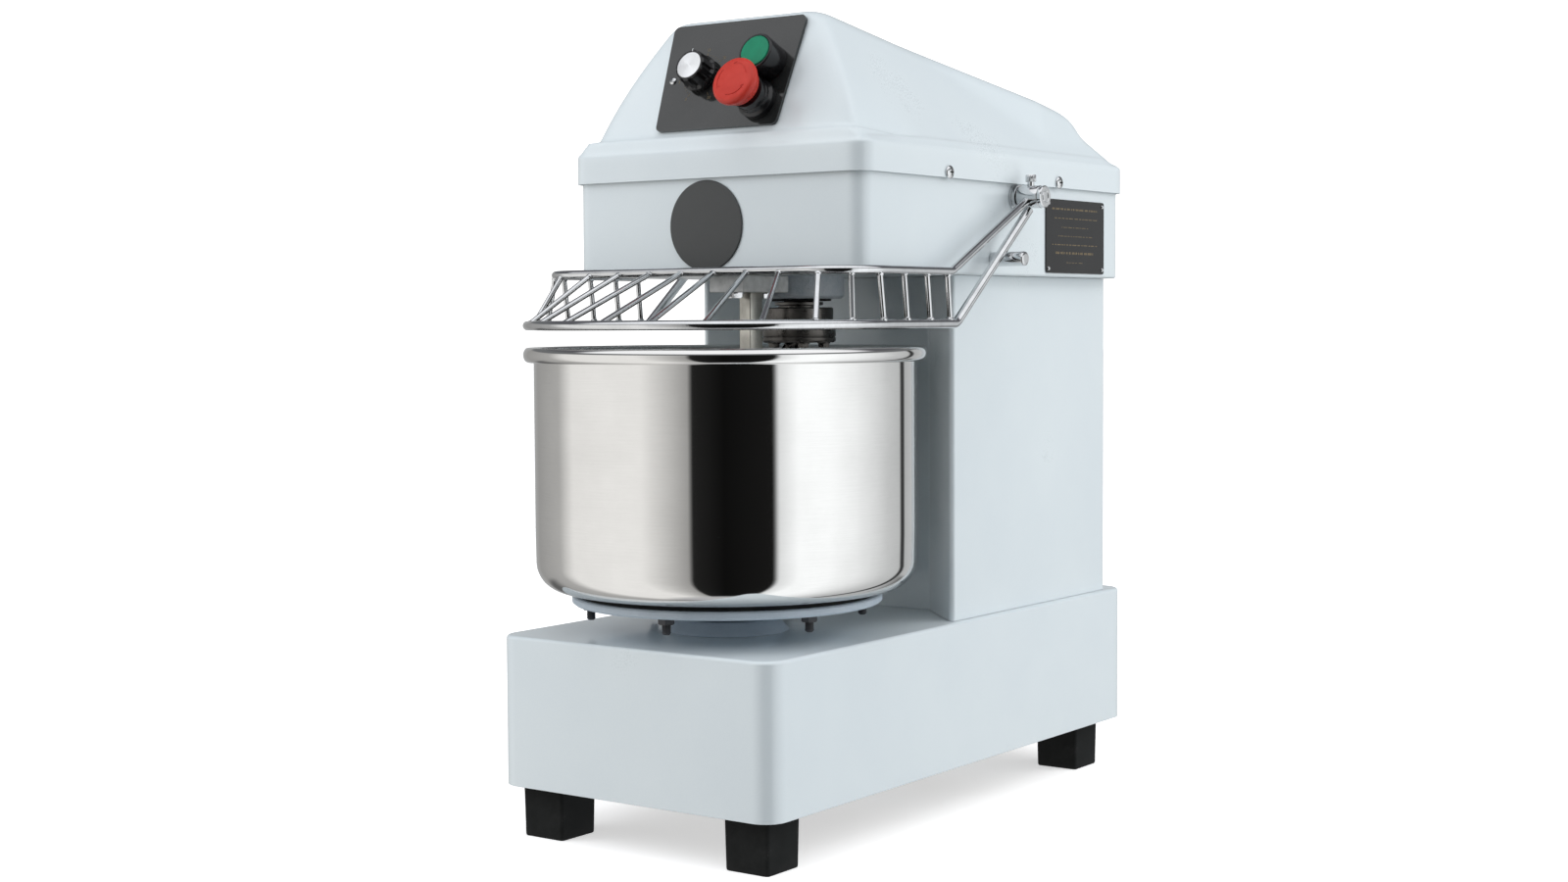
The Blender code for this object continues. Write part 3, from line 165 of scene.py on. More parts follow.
def corner_arc(here, before, after, radius, steps):
    """Arc tangent to the two unit directions that leave a corner."""
    half = before.angle(after) / 2
    centre = here + (before + after).normalized() * radius / sin(half)
    start = here + before * radius / tan(half) - centre
    end = here + after * radius / tan(half) - centre
    return [centre + start.slerp(end, step / steps) * radius for step in range(steps + 1)]


def rounded(corners, radii, steps=10):
    """Closed outline through the corners, each one replaced by an arc of its radius."""
    outline = []
    for index, corner in enumerate(corners):
        here = Vector(corner)
        before = (Vector(corners[index - 1]) - here).normalized()
        after = (Vector(corners[(index + 1) % len(corners)]) - here).normalized()
        outline += corner_arc(here, before, after, radii[index], steps)
    return outline


def bent_path(corners, radii, steps=8):
    """Open line through the corners, with a bend of its radius at each inner one."""
    path = [Vector(corners[0])]
    for index in range(1, len(corners) - 1):
        here = Vector(corners[index])
        before = (Vector(corners[index - 1]) - here).normalized()
        after = (Vector(corners[index + 1]) - here).normalized()
        path += corner_arc(here, before, after, radii[index - 1], steps)
    path.append(Vector(corners[-1]))
    return path


def rounded_rectangle(half_width, front, rear, radius, steps=10):
    corners = [(-half_width, front), (half_width, front), (half_width, rear), (-half_width, rear)]
    return rounded(corners, [radius] * 4, steps)


def circle(x, depth, radius, sides):
    return [(x + radius * cos(turn), depth + radius * sin(turn)) for turn in full_turn(sides)]


def at_height(outline, height):
    return [(point[0], point[1], height) for point in outline]


def loft(loops, capped=True):
    """Skin a chain of loops that have the same number of points."""
    bm = bmesh.new()
    rows = [[bm.verts.new(point) for point in loop] for loop in loops]
    for low, high in zip(rows, rows[1:]):
        for index in range(len(low)):
            after = (index + 1) % len(low)
            bm.faces.new((low[index], low[after], high[after], high[index]))
    if capped:
        bm.faces.new(rows[0])
        bm.faces.new(rows[-1])
    return bm


def bevel_level(bm, height, offset, **how):
    """Bevel the edges that lie at one height."""
    level = [e for e in bm.edges if all(abs(v.co.z - height) < 1e-4 for v in e.verts)]
    bmesh.ops.bevel(bm, geom=level, offset=offset, affect="EDGES", **how)


def prism(outline, bottom, top, edge=0.0):
    """Upright prism; its upper edge is rounded by the given radius."""
    bm = loft([at_height(outline, bottom), at_height(outline, top)])
    if edge:
        bevel_level(bm, top, edge, segments=3, profile=0.5)
    return bm


def block(x0, x1, depth0, depth1, bottom, top, edge=0.0):
    bm = prism([(x0, depth0), (x1, depth0), (x1, depth1), (x0, depth1)], bottom, top)
    if edge:
        bmesh.ops.bevel(bm, geom=bm.edges[:], offset=edge, segments=3, profile=0.5, affect="EDGES")
    return bm


def spun(line, steps):
    """Spin a line of (radius, height) points about the z axis."""
    turns = full_turn(steps)
    bm = loft([[(reach * cos(t), reach * sin(t), up) for t in turns] for reach, up in line],
              capped=False)
    bmesh.ops.remove_doubles(bm, verts=bm.verts, dist=0.0005)
    return bm


def turned(profile, steps=64, bend=0.4, closed=False):
    """Spin (radius, height) corners about the z axis, with every inner corner rounded by bend."""
    corners = [Vector(point) for point in profile]
    if closed:
        line = rounded(corners, [bend] * len(corners), 3)
        line.append(line[0])
    else:
        line = bent_path(corners, [bend] * (len(corners) - 2), 3)
    return spun(line, steps)


def sweep(path, radius, sides=18):
    """Round bar along an open line; radius may be one number or one for each point."""
    radii = radius if isinstance(radius, list) else [radius] * len(path)
    side = (path[1] - path[0]).orthogonal().normalized()
    loops = []
    for index, (point, reach) in enumerate(zip(path, radii)):
        ahead = path[min(index + 1, len(path) - 1)]
        behind = path[max(index - 1, 0)]
        tangent = (ahead - behind).normalized()
        side = (side - tangent * side.dot(tangent)).normalized()
        other = tangent.cross(side)
        loops.append([point + (side * cos(turn) + other * sin(turn)) * reach
                      for turn in full_turn(sides)])
    return loft(loops)


def bead(centre, radius):
    """Lumpy, slightly flattened bead of weld metal."""
    bm = bmesh.new()
    bmesh.ops.create_icosphere(bm, subdivisions=3, radius=1.0)
    seed = Vector((WORN.uniform(0, 50), WORN.uniform(0, 50), WORN.uniform(0, 50)))
    for vertex in bm.verts:
        size = radius * (1.0 + 0.22 * noise.noise(vertex.co * 1.4 + seed))
        vertex.co.z *= 0.75
        vertex.co = Vector(centre) + vertex.co * size
    return bm


def joined(*parts):
    """Put several bmeshes into the first one."""
    whole = parts[0]
    for part in parts[1:]:
        mesh = bpy.data.meshes.new("joined")
        part.to_mesh(mesh)
        part.free()
        whole.from_mesh(mesh)
        bpy.data.meshes.remove(mesh)
    return whole


def add_object(name, data):
    made = bpy.data.objects.new(name, data)
    bpy.context.scene.collection.objects.link(made)
    return made


def object_from(name, bm):
    """New object that takes over a bmesh."""
    mesh = bpy.data.meshes.new(name)
    bm.to_mesh(mesh)
    bm.free()
    return add_object(name, mesh)


def temporary(bm):
    bmesh.ops.recalc_face_normals(bm, faces=bm.faces)
    return object_from("temporary", bm)


def carved(bm, *tools):
    """Cut each tool out of a shape, and give the result as a new bmesh."""
    target = temporary(bm)
    cutters = [temporary(tool) for tool in tools]
    for cutter in cutters:
        modifier = target.modifiers.new("cut", "BOOLEAN")
        modifier.solver = "EXACT"
        modifier.object = cutter
    bpy.context.view_layer.update()
    result = bmesh.new()
    result.from_mesh(target.evaluated_get(bpy.context.evaluated_depsgraph_get()).to_mesh())
    for item in [target, *cutters]:
        bpy.data.objects.remove(item, do_unlink=True)
    return result


def piece(name, bm, body, slot, place=None, replaces=(), sharp=35.0, paint=None):
    """Turn a bmesh in millimetres into a piece of the machine that rides on a CAD body."""
    bmesh.ops.recalc_face_normals(bm, faces=bm.faces)
    if place is None:
        bmesh.ops.translate(bm, verts=bm.verts, vec=(0.0, -MIDDLE, 0.0))
    bmesh.ops.scale(bm, verts=bm.verts, vec=(MM, MM, MM))
    made = object_from(name, bm)
    made.data.shade_smooth()
    made.data.set_sharp_from_angle(angle=radians(sharp))
    made.data.materials.append(FINISHES[paint or slot])
    if place is not None:
        made.matrix_world = place
    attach(made, body)
    if replaces:
        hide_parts(*replaces)


# ---- finishes

FINISHES = {}  # materials by name
OFF_AXIS = (0.3713, 0.6127, 0.2339)  # metres; on its axes every octave of a noise lines up


def fill(tree, node, values):
    """Give each input its value, or link it to another node's output."""
    for socket, value in values.items():
        if isinstance(value, bpy.types.NodeSocket):
            tree.links.new(value, node.inputs[socket])
        else:
            node.inputs[socket].default_value = value


def add_node(tree, kind, values, output=0, **settings):
    """Add a shader node, fill its inputs, and return one of its outputs."""
    node = tree.nodes.new(f"ShaderNode{kind}")
    for setting, value in settings.items():
        setattr(node, setting, value)
    fill(tree, node, values)
    return node.outputs[output]


def noise_field(tree, place, stretch, scale, detail):
    """Noise over a position that is scaled along each axis and moved off the axes."""
    shifted = add_node(tree, "Mapping", {"Vector": place, "Location": OFF_AXIS, "Scale": stretch})
    return add_node(tree, "TexNoise", {"Vector": shifted, "Scale": scale, "Detail": detail,
                                       "Roughness": 0.55}, "Fac")


def ramp(tree, value, stops):
    """Colours by position; a stop is (position, colour)."""
    colours = add_node(tree, "ValToRGB", {"Fac": value}, "Color")
    elements = colours.node.color_ramp.elements
    while len(elements) < len(stops):
        elements.new(0.5)
    for element, (position, colour) in zip(elements, stops):
        element.position = position
        element.color = (*colour, 1.0)
    return colours


def finish(name, colour, tint, roughness, metallic=0.0, *, mottle, grain, relief,
           stretch=(1.0, 1.0, 1.0), flecks=None, radial=False, **sockets):
    """Make a material: its colour drifts to a tint, its roughness varies, its surface has a grain.

    mottle and grain are the scales of the drift and of the grain, and relief is the grain's height
    in metres. stretch squeezes the grain along an axis, for brushed and turned metal. flecks is a
    colour for small scattered marks. Other values go on the shader's own sockets.
    """
    made = bpy.data.materials.new(name)
    made.use_nodes = True
    tree = made.node_tree
    place = add_node(tree, "TexCoord", {}, "Object")
    fine = noise_field(tree, place, stretch, grain, 3.0)
    broad = noise_field(tree, place, (1.0, 1.0, 1.0), mottle, 5.0)
    uneven = add_node(tree, "Math", {0: fine, 1: 0.35, 2: broad}, operation="MULTIPLY_ADD")
    uneven = add_node(tree, "Math", {0: uneven, 1: 0.175}, operation="SUBTRACT")
    stops = [(0.35, colour), (0.7, tint)]
    if flecks:
        stops.append((0.78, flecks))
    values = {
        "Base Color": ramp(tree, uneven, stops),
        "Roughness": add_node(tree, "MapRange", {
            "Value": uneven, "From Min": 0.3, "From Max": 0.7,
            "To Min": roughness[0], "To Max": roughness[1]}, "Result"),
        "Normal": add_node(tree, "Bump", {"Strength": 1.0, "Distance": relief, "Height": fine}),
        "Metallic": metallic}
    if radial:
        values["Tangent"] = add_node(tree, "Tangent", {}, direction_type="RADIAL", axis="Z")
    for socket, value in sockets.items():
        values[socket.replace("_", " ")] = value
    fill(tree, tree.nodes["Principled BSDF"], values)
    FINISHES[name] = made


def slot_finishes():
    """One finish for each material slot of the record."""
    around = (0.02, 0.02, 1.0)
    finish("enamel", (0.725, 0.795, 0.825), (0.69, 0.762, 0.80), (0.27, 0.36), mottle=7.0,
           grain=700.0, relief=0.000035, Coat_Weight=0.6, Coat_Roughness=0.12)
    finish("rubber", (0.008, 0.009, 0.009), (0.02, 0.021, 0.021), (0.6, 0.85), mottle=60.0,
           grain=1500.0, relief=0.00012, flecks=(0.05, 0.05, 0.05), Specular_IOR_Level=0.12)
    finish("black_plastic", (0.009, 0.009, 0.01), (0.016, 0.016, 0.018), (0.18, 0.3), mottle=40.0,
           grain=2400.0, relief=0.000012)
    finish("charcoal_gloss", (0.018, 0.020, 0.020), (0.025, 0.026, 0.026), (0.08, 0.13),
           mottle=30.0, grain=3000.0, relief=0.000003, Coat_Weight=0.3)
    finish("badge_grey", (0.052, 0.055, 0.056), (0.06, 0.063, 0.064), (0.42, 0.55), mottle=50.0,
           grain=2500.0, relief=0.00001)
    finish("green_plastic", (0.005, 0.2, 0.105), (0.008, 0.235, 0.125), (0.32, 0.45), mottle=90.0,
           grain=2600.0, relief=0.00002, flecks=(0.03, 0.3, 0.17), Specular_IOR_Level=0.3)
    finish("red_plastic", (0.55, 0.038, 0.024), (0.49, 0.031, 0.02), (0.34, 0.46), mottle=80.0,
           grain=2600.0, relief=0.00002, Specular_IOR_Level=0.35)
    finish("chrome", (0.68, 0.69, 0.70), (0.60, 0.61, 0.62), (0.04, 0.09), 1.0, mottle=60.0,
           grain=500.0, relief=0.00002)
    finish("stainless", (0.76, 0.755, 0.745), (0.70, 0.695, 0.685), (0.035, 0.06), 1.0, mottle=14.0,
           grain=1400.0, relief=0.0000015, stretch=around)
    finish("dark_steel", (0.10, 0.095, 0.088), (0.17, 0.16, 0.15), (0.2, 0.4), 1.0, mottle=70.0,
           grain=1600.0, relief=0.00001, stretch=around)
    finish("ground_steel", (0.66, 0.64, 0.58), (0.52, 0.5, 0.45), (0.28, 0.45), 1.0, mottle=60.0,
           grain=1400.0, relief=0.00002, flecks=(0.34, 0.32, 0.28))
    finish("casting", (0.40, 0.46, 0.52), (0.33, 0.39, 0.45), (0.35, 0.6), mottle=90.0, grain=380.0,
           relief=0.0002, flecks=(0.2, 0.23, 0.27))
    finish("cast_iron", (0.07, 0.07, 0.075), (0.11, 0.11, 0.115), (0.5, 0.75), 0.6, mottle=80.0,
           grain=800.0, relief=0.0002)
    finish("motor_paint", (0.10, 0.14, 0.18), (0.13, 0.17, 0.21), (0.4, 0.6), mottle=30.0,
           grain=900.0, relief=0.0001)


def other_finishes():
    """Finishes of pieces that look unlike the rest of their slot, and of the studio's floor."""
    finish("spun_aluminium", (0.88, 0.89, 0.90), (0.86, 0.87, 0.88), (0.24, 0.28), 1.0, mottle=80.0,
           grain=2500.0, relief=0.000004, radial=True, Anisotropic=0.9)
    finish("gold_print", (0.16, 0.12, 0.07), (0.21, 0.165, 0.1), (0.35, 0.5), 0.5, mottle=200.0,
           grain=2500.0, relief=0.00001)
    # a lighter copy of the casting paint: painted light for the spindle housing, which sits in shade
    # under the head
    finish("lit_casting", (0.50, 0.56, 0.61), (0.62, 0.66, 0.70), (0.3, 0.5), 0.0, mottle=110.0,
           grain=420.0, relief=0.0003, flecks=(0.16, 0.18, 0.20))
    finish("pale_casting", (0.82, 0.83, 0.82), (0.66, 0.67, 0.66), (0.35, 0.6), 0.0, mottle=120.0,
           grain=420.0, relief=0.0002, flecks=(0.4, 0.4, 0.38))
    finish("table_paint", (0.52, 0.60, 0.68), (0.46, 0.54, 0.62), (0.3, 0.45), mottle=45.0,
           grain=500.0, relief=0.00008)
    finish("black_gloss", (0.006, 0.006, 0.007), (0.012, 0.012, 0.013), (0.06, 0.12), mottle=25.0,
           grain=2500.0, relief=0.000003, Coat_Weight=0.2, Specular_IOR_Level=0.25)
    finish("paper", (0.90, 0.90, 0.90), (0.88, 0.88, 0.88), (0.8, 0.9), mottle=2.0, grain=300.0,
           relief=0.00005, Emission_Color=(1.0, 1.0, 1.0, 1.0), Emission_Strength=0.55)


def paint_cad_nodes():
    """Give every CAD node the finish of its own slot, for those that stay in sight."""
    slots = {row["node"]: row["material_slot"] for row in frame["record"]["subparts"]}
    for name, node in frame["nodes"].items():
        for holder in node.material_slots:
            holder.material = FINISHES[slots[name]]


# ---- folded sheet housings

def folded_box(span, corner, fold, open_end, closed_end):
    """Box of folded sheet, open at one end, with its other end's edge rounded by the fold."""
    def ring(inset, height):
        return at_height(rounded_rectangle(span.right - inset, span.front + inset,
                                           span.rear - inset, corner - inset), height)

    inward = 1.0 if closed_end > open_end else -1.0
    loops = [ring(SHEET, open_end + 14.0 * inward), ring(SHEET, open_end), ring(0.4, open_end),
             ring(0.0, open_end + 0.4 * inward)]
    for angle in spread(0.0, pi / 2, 8):
        loops.append(ring(fold * (1 - cos(angle)), closed_end - inward * fold * (1 - sin(angle))))
    bm = loft(loops, capped=False)
    bm.verts.ensure_lookup_table()
    bm.faces.new(bm.verts[-len(loops[-1]):])
    return bm


def base_housing():
    bm = folded_box(BASE, 22.0, 3.5, BASE.bottom, BASE.top)
    piece("base_shell", bm, "frame", "enamel", replaces=["base_housing"])


def head_housing():
    bm = folded_box(HEAD, 17.0, 2.5, HEAD.top, HEAD.bottom)
    piece("head_shell", bm, "frame", "enamel", replaces=["head_housing"])


def column_housing():
    """Folded column with the recess that the bowl turns in."""
    recess = HOOK.depth + 104.2
    half = 87.1
    corners = [(COLUMN.left, COLUMN.rear), (COLUMN.left, COLUMN.front), (-half, recess),
               (half, recess), (COLUMN.right, COLUMN.front), (COLUMN.right, COLUMN.rear)]
    outer = rounded(corners, [8.0, 4.0, 6.0, 6.0, 4.0, 8.0], 6)
    bm = loft([at_height(outer, COLUMN.bottom), at_height(outer, COLUMN.top)], capped=False)
    piece("column_shell", bm, "frame", "enamel", replaces=["column_housing"])


def rear_cover():
    """Screwed-on service plate with cooling slots, and its four screws."""
    cover = Span("column_rear_cover")
    half, tall = cover.radius, (cover.top - cover.bottom) / 2
    plate = prism(rounded_rectangle(half, -tall, tall, 10.0), 0.0, 1.5, 0.5)
    slots = [prism(rounded_rectangle(55.0, low, low + 6.0, 2.9, 6), -5.0, 5.0)
             for low in (-65.0, -41.0, -17.0, 7.0, 31.0)]
    place = facing(-1, 0.0, cover.front, cover.height)
    piece("rear_cover_plate", carved(plate, *slots), "frame", "enamel", place,
          ["column_rear_cover"])
    for name, x, up in corners_of("rear_cover_screw", half, tall, 11.0, ("left", "right")):
        screw(name, moved(place, x, up, 1.4), 4.0, 2.2)


def screw(name, place, radius, height, replaces=()):
    """Domed screw head with a cross recess; z counts out from the surface it sits on."""
    dome = [(radius * sin(angle), height * (0.25 + 0.75 * cos(angle)))
            for angle in spread(0.0, pi / 2, 8)]
    head = turned([*dome, (radius, 0.0), (0.0, 0.0)], 32, 0.05)
    reach, thin, deep = radius * 0.55, radius * 0.13, height * 0.35
    bars = [block(-reach, reach, -thin, thin, deep, height * 2),
            block(-thin, thin, -reach, reach, deep, height * 2)]
    piece(name, carved(head, *bars), "frame", "chrome", place, replaces)


# ---- lid

WAIST = 656.0  # where the lid's sloping body starts, above its shoulder
WAIST_FRONT = 132.5
WAIST_SIDE = 166.7
WAIST_REAR = 617.1
CREASE = 77.5  # half width of the lid's flat front face
ROOF_HEIGHT = 775.0  # height of the roof plane at ROOF_DEPTH
ROOF_DEPTH = 200.0
ROOF_FALL = 0.2
SKIRT_CORNER = 20.0
SHOULDER = 649.0  # outer edge of the ledge above the skirt
LEDGE_WIDTH = 7.0
FLANK_LEAN = 0.6466  # inward lean of the lid's sides, per unit of height
REAR_LEAN = 1.43
HUMP_START = 300.0  # depth from which the lid's rear is raised over the big pulley
LID_CENTRE = Vector((0.0, 360.0, 690.0))  # point inside the lid that its surface is seen from


# Edges of the lid's sloping body, at a height above the waist.

def lid_front(up):
    return WAIST_FRONT + up * tan(PANEL_TILT)


def lid_side(up):
    return WAIST_SIDE - FLANK_LEAN * up


def lid_rear(up):
    return WAIST_REAR - REAR_LEAN * up


def lid_corner(up):
    """Where the facet beside the panel meets the side: its x and its depth, as curves in height."""
    return 153.5 - 0.36 * up - 0.0017 * up * up, 138.7 + 0.285 * up + 0.0008 * up * up


def flank_start(up):
    """Depth where the flat of the side begins, behind its turn towards the corner."""
    return 230.0 - 0.28 * up


def roof_height(depth):
    return ROOF_HEIGHT - ROOF_FALL * (depth - ROOF_DEPTH)


def front_share(depth):
    """One at the front of the lid, zero along its sides."""
    return np.clip((200.0 - depth) / 60.0, 0.0, 1.0)


def soft_max(first, second, blend):
    """Larger of two fields, with their meeting rounded over the blend."""
    share = np.maximum(blend - np.abs(first - second), 0.0) / blend
    return np.maximum(first, second) + share * share * blend / 4


def soft_min(first, second, blend):
    return -soft_max(-first, -second, blend)


def beyond_line(x, y, start, end):
    """Distance outside the upright plane through two points, which may change with height."""
    along, away = end[0] - start[0], end[1] - start[1]
    length = np.hypot(along, away)
    return ((x - start[0]) * away - (y - start[1]) * along) / length


def upper_lid(x, y, z):
    """Field of the lid's sloping body and its raised rear: negative inside."""
    up = z - WAIST
    front = lid_front(up)
    corner = lid_corner(up)
    crease = np.minimum(CREASE, corner[0] - 8.0)
    side = lid_side(up)
    lean = 1.0 / np.hypot(1.0, FLANK_LEAN)
    nose = soft_max((front - y) * cos(PANEL_TILT),
                    beyond_line(x, y, (crease, front), corner) * cos(PANEL_TILT), 0.5)
    flank = soft_max((x - side) * lean,
                     beyond_line(x, y, corner, (side, flank_start(up))) * lean, 1.2)
    rear = (y - lid_rear(up)) / np.hypot(1.0, REAR_LEAN)
    walls = soft_max(soft_max(nose, flank, 11.0), rear, 12.0)
    # the hump's side is two planes, a sloping one over a steeper one; the last factor of each
    # plane turns its value into a distance
    hump_side = np.maximum((x - 368.5 - 0.114 * y + 0.398 * z) * 0.93,
                           (x - 154.5 + 0.36 * (z - 678.0)) * 0.94)
    hump_rear = (y - 575.0 + (z - 690.0) / 1.4) * 0.81
    hump = np.maximum(soft_max(hump_side, hump_rear, 18.0), HUMP_START - y)
    roof = (z - roof_height(y)) / np.hypot(1.0, ROOF_FALL)
    return soft_max(soft_min(walls, hump, 2.0), roof, 13.0)


def lid_field(x, y, z):
    """Field of the whole lid: the sloping body standing on the shoulder of the skirt."""
    x = np.abs(x)
    from_middle = np.abs(y - COVER.depth) - (COVER.rear - COVER.front) / 2 + SKIRT_CORNER
    from_side = x - COVER.right + SKIRT_CORNER
    outside = np.hypot(np.maximum(from_side, 0.0), np.maximum(from_middle, 0.0))
    skirt = outside + np.minimum(np.maximum(from_side, from_middle), 0.0) - SKIRT_CORNER
    # the ledge inside the skirt rises steepest across the front, and least at its corners and rear
    share = front_share(y)
    flank = share * np.clip((x - 150.0) / 15.0, 0.0, 1.0)
    rise = 1.07 + 0.75 * share - 1.2 * flank - 0.8 * np.clip((y - 590.0) / 25.0, 0.0, 1.0)
    step = 1.8 * np.sin(np.clip(-skirt / LEDGE_WIDTH, 0.0, 1.0) * 2 * pi)
    step = step * (0.35 + 0.65 * share - 0.9 * flank)
    ledge = np.minimum(SHOULDER - rise * skirt, WAIST + 5.5 * share) - step
    skirt = soft_max(skirt, (z - ledge) / np.hypot(1.0, rise), 3.0)
    body = np.maximum(upper_lid(x, y, z), WAIST - 6.0 - z)
    return soft_min(skirt, body, 2.5)


def spaced(start, end, count):
    """Points from start up to, and not including, end."""
    return [Vector(start).lerp(Vector(end), step / count) for step in range(count)]


def half_level(front, crease, corner, side_start, rear, corner_radius, rear_radius):
    """Right half of one level of the lid, from the middle of the front round to the rear."""
    corner = Vector(corner)
    start = Vector((crease, front))
    arc = corner_arc(corner, (start - corner).normalized(),
                     (Vector(side_start) - corner).normalized(), corner_radius, 9)
    turn = corner_arc(Vector((side_start[0], rear)), Vector((0.0, -1.0)), Vector((-1.0, 0.0)),
                      rear_radius, 9)
    return [*spaced((0.0, front), start, 12), *spaced(start, arc[0], 14), *arc[:-1],
            *spaced(arc[-1], side_start, 12), *spaced(side_start, turn[0], 64), *turn[:-1],
            *spaced(turn[-1], (0.0, rear), 16), Vector((0.0, rear))]


def sloping_level(up):
    corner = lid_corner(up)
    return half_level(lid_front(up), min(CREASE, corner[0] - 8.0), corner,
                      (lid_side(up), flank_start(up)), lid_rear(up), 7.0, 8.0)


def skirt_level(inset):
    reach = COVER.right - inset
    return half_level(COVER.front + inset, CREASE, (reach, COVER.front + inset),
                      (reach, 230.0), COVER.rear - inset, SKIRT_CORNER - inset,
                      SKIRT_CORNER - inset)


def roof_edge(base):
    """Where each line up the lid's slope meets the roof."""
    edge = []
    for index in range(len(base)):
        up = 110.0  # first guess
        for _ in range(12):  # closes in on the height where the two meet
            up = roof_height(sloping_level(up)[index].y) - WAIST
        point = sloping_level(up)[index]
        edge.append(Vector((point.x, point.y, WAIST + up)))
    return edge


def lid_rays():
    """Rows of points near the lid's surface, from the skirt up and over to the middle of the roof."""
    skirt = [Vector((*point, 0.0)) for point in skirt_level(0.0)]
    waist = [Vector((point.x, point.y, WAIST + 2.0 + 5.5 * float(front_share(point.y))))
             for point in sloping_level(2.0)]
    edge = roof_edge(waist)
    rows = [[Vector((p.x, p.y, height)) for p in skirt]
            for height in (COVER.bottom, COVER.bottom + 0.8, 630.0, 638.0, 643.0, 645.5)]
    shelf = [Vector((p.x, p.y, 647.0)) for p in skirt]
    for step in range(22):
        rows.append([low.lerp(high, step / 22) for low, high in zip(shelf, waist)])
    # the rows stand closer together just below the roof's edge
    climb = [0.02 * step for step in range(46)] + [0.92 + 0.01 * step for step in range(8)]
    for share in climb:
        rows.append([low.lerp(high, share) for low, high in zip(waist, edge)])
    for share in (1.0, 0.985, 0.97, 0.95, 0.93, 0.9, 0.86, 0.8, 0.7, 0.58, 0.45, 0.3, 0.15, 0.0):
        row = []
        for point in edge:
            depth = min(max(point.y, 235.0), 500.0)
            spine = Vector((0.0, depth, roof_height(depth)))
            row.append(spine.lerp(point, share))
        rows.append(row)
    return rows


def onto_lid(rows):
    """Move each point along its ray from inside the lid until it lies on the lid's surface."""
    points = np.array([[tuple(point) for point in row] for row in rows])
    centre = np.array(LID_CENTRE)
    rays = points - centre
    # shares of each ray that are sure to end inside and outside
    low = np.full(points.shape[:2], 0.6)
    high = np.full(points.shape[:2], 1.25)
    for _ in range(30):
        middle = (low + high) / 2
        spot = centre + rays * middle[..., None]
        inside = lid_field(spot[..., 0], spot[..., 1], spot[..., 2]) < 0
        low = np.where(inside, middle, low)
        high = np.where(inside, high, middle)
    return centre + rays * low[..., None]


def top_cover():
    """Pressed lid: skirt, ledge, sloping body, raised rear and roof, with soft edges."""
    half = onto_lid(lid_rays())
    inner = []
    for height in (COVER.bottom + 16.0, COVER.bottom):
        inner.append([(point.x, point.y, height) for point in skirt_level(SHEET)])
    loops = []
    for row in [*inner, *half]:
        right = [tuple(point) for point in row]
        left = [(-x, y, z) for x, y, z in reversed(right[1:-1])]
        loops.append(right + left)
    bm = loft(loops, capped=False)
    bmesh.ops.remove_doubles(bm, verts=bm.verts, dist=0.01)
    piece("lid_shell", bm, "frame", "enamel", replaces=["top_cover"], sharp=60.0)


def lid_screws():
    for side, name in SIDES:
        for end in ("front", "rear"):
            node = f"cover_screw_{end}_{name}"
            span = Span(node)
            seat = moved(sideways(side, span.depth, span.height), out=COVER.right + 0.1)
            screw(f"lid_screw_{end}_{name}", seat, 6.5, 3.5, [node])


# ---- control panel

def control_panel():
    corners = [(-PANEL_HALF_BOTTOM, 0.0), (PANEL_HALF_BOTTOM, 0.0),
               (PANEL_HALF_TOP, PANEL_LENGTH), (-PANEL_HALF_TOP, PANEL_LENGTH)]
    plate = prism(rounded(corners, [6.0] * 4), 0.0, FACE - 0.3, 0.35)
    piece("panel_plate", plate, "frame", "charcoal_gloss", on_panel(), ["control_panel"])
    screw("panel_screw", on_panel(-64.0, 53.0, FACE - 0.4), 3.8, 2.4)


def dial_turn(minute):
    return radians(240.0 - 10.0 * minute)


def dial_marks():
    """Ticks of the timer's dial, and its plain numbers."""
    ticks = bmesh.new()
    for step in range(DIAL_MINUTES + 1):
        turn = dial_turn(step)
        major = step % 5 == 0
        inner, outer = 20.6, 24.0 if major else 22.4
        wide = 0.3 if major else 0.18
        along = Vector((cos(turn), sin(turn)))
        beside = Vector((-along.y, along.x)) * wide
        corners = [along * inner - beside, along * outer - beside,
                   along * outer + beside, along * inner + beside]
        ticks = joined(ticks, prism(corners, FACE - 0.3, FACE - 0.22))
    piece("dial_ticks", ticks, "frame", "charcoal_gloss", on_panel(*TIMER_AT), paint="gold_print")
    for step in range(0, DIAL_MINUTES + 1, 5):
        turn = dial_turn(step)
        place = on_panel(TIMER_AT[0] + 27.4 * cos(turn), TIMER_AT[1] + 27.4 * sin(turn))
        number(f"dial_number_{step:02d}", str(step), place)


def number(name, text, place):
    """Printed number, made from a text curve."""
    curve = bpy.data.curves.new(name, "FONT")
    curve.body = text
    curve.size = 4.4 * MM
    curve.extrude = 0.03 * MM
    curve.align_x = curve.align_y = "CENTER"
    made = add_object(name, curve)
    bm = bmesh.new()
    bm.from_mesh(bpy.data.meshes.new_from_object(made))
    bpy.data.objects.remove(made, do_unlink=True)
    bmesh.ops.scale(bm, verts=bm.verts, vec=(1 / MM, 1 / MM, 1 / MM))
    bmesh.ops.translate(bm, verts=bm.verts, vec=(0, 0, FACE - 0.26))
    piece(name, bm, "frame", "charcoal_gloss", place, paint="gold_print")


def fluted(levels, flutes, steps=120, width=0.5):
    """Upright knob body; a level is (radius, height, depth of its flutes)."""
    loops = []
    for radius, height, groove in levels:
        loop = []
        for turn in full_turn(steps):
            reach = radius - groove * max(0.0, cos(turn * flutes)) ** width
            loop.append((reach * cos(turn), reach * sin(turn), height))
        loops.append(loop)
    return loft(loops)


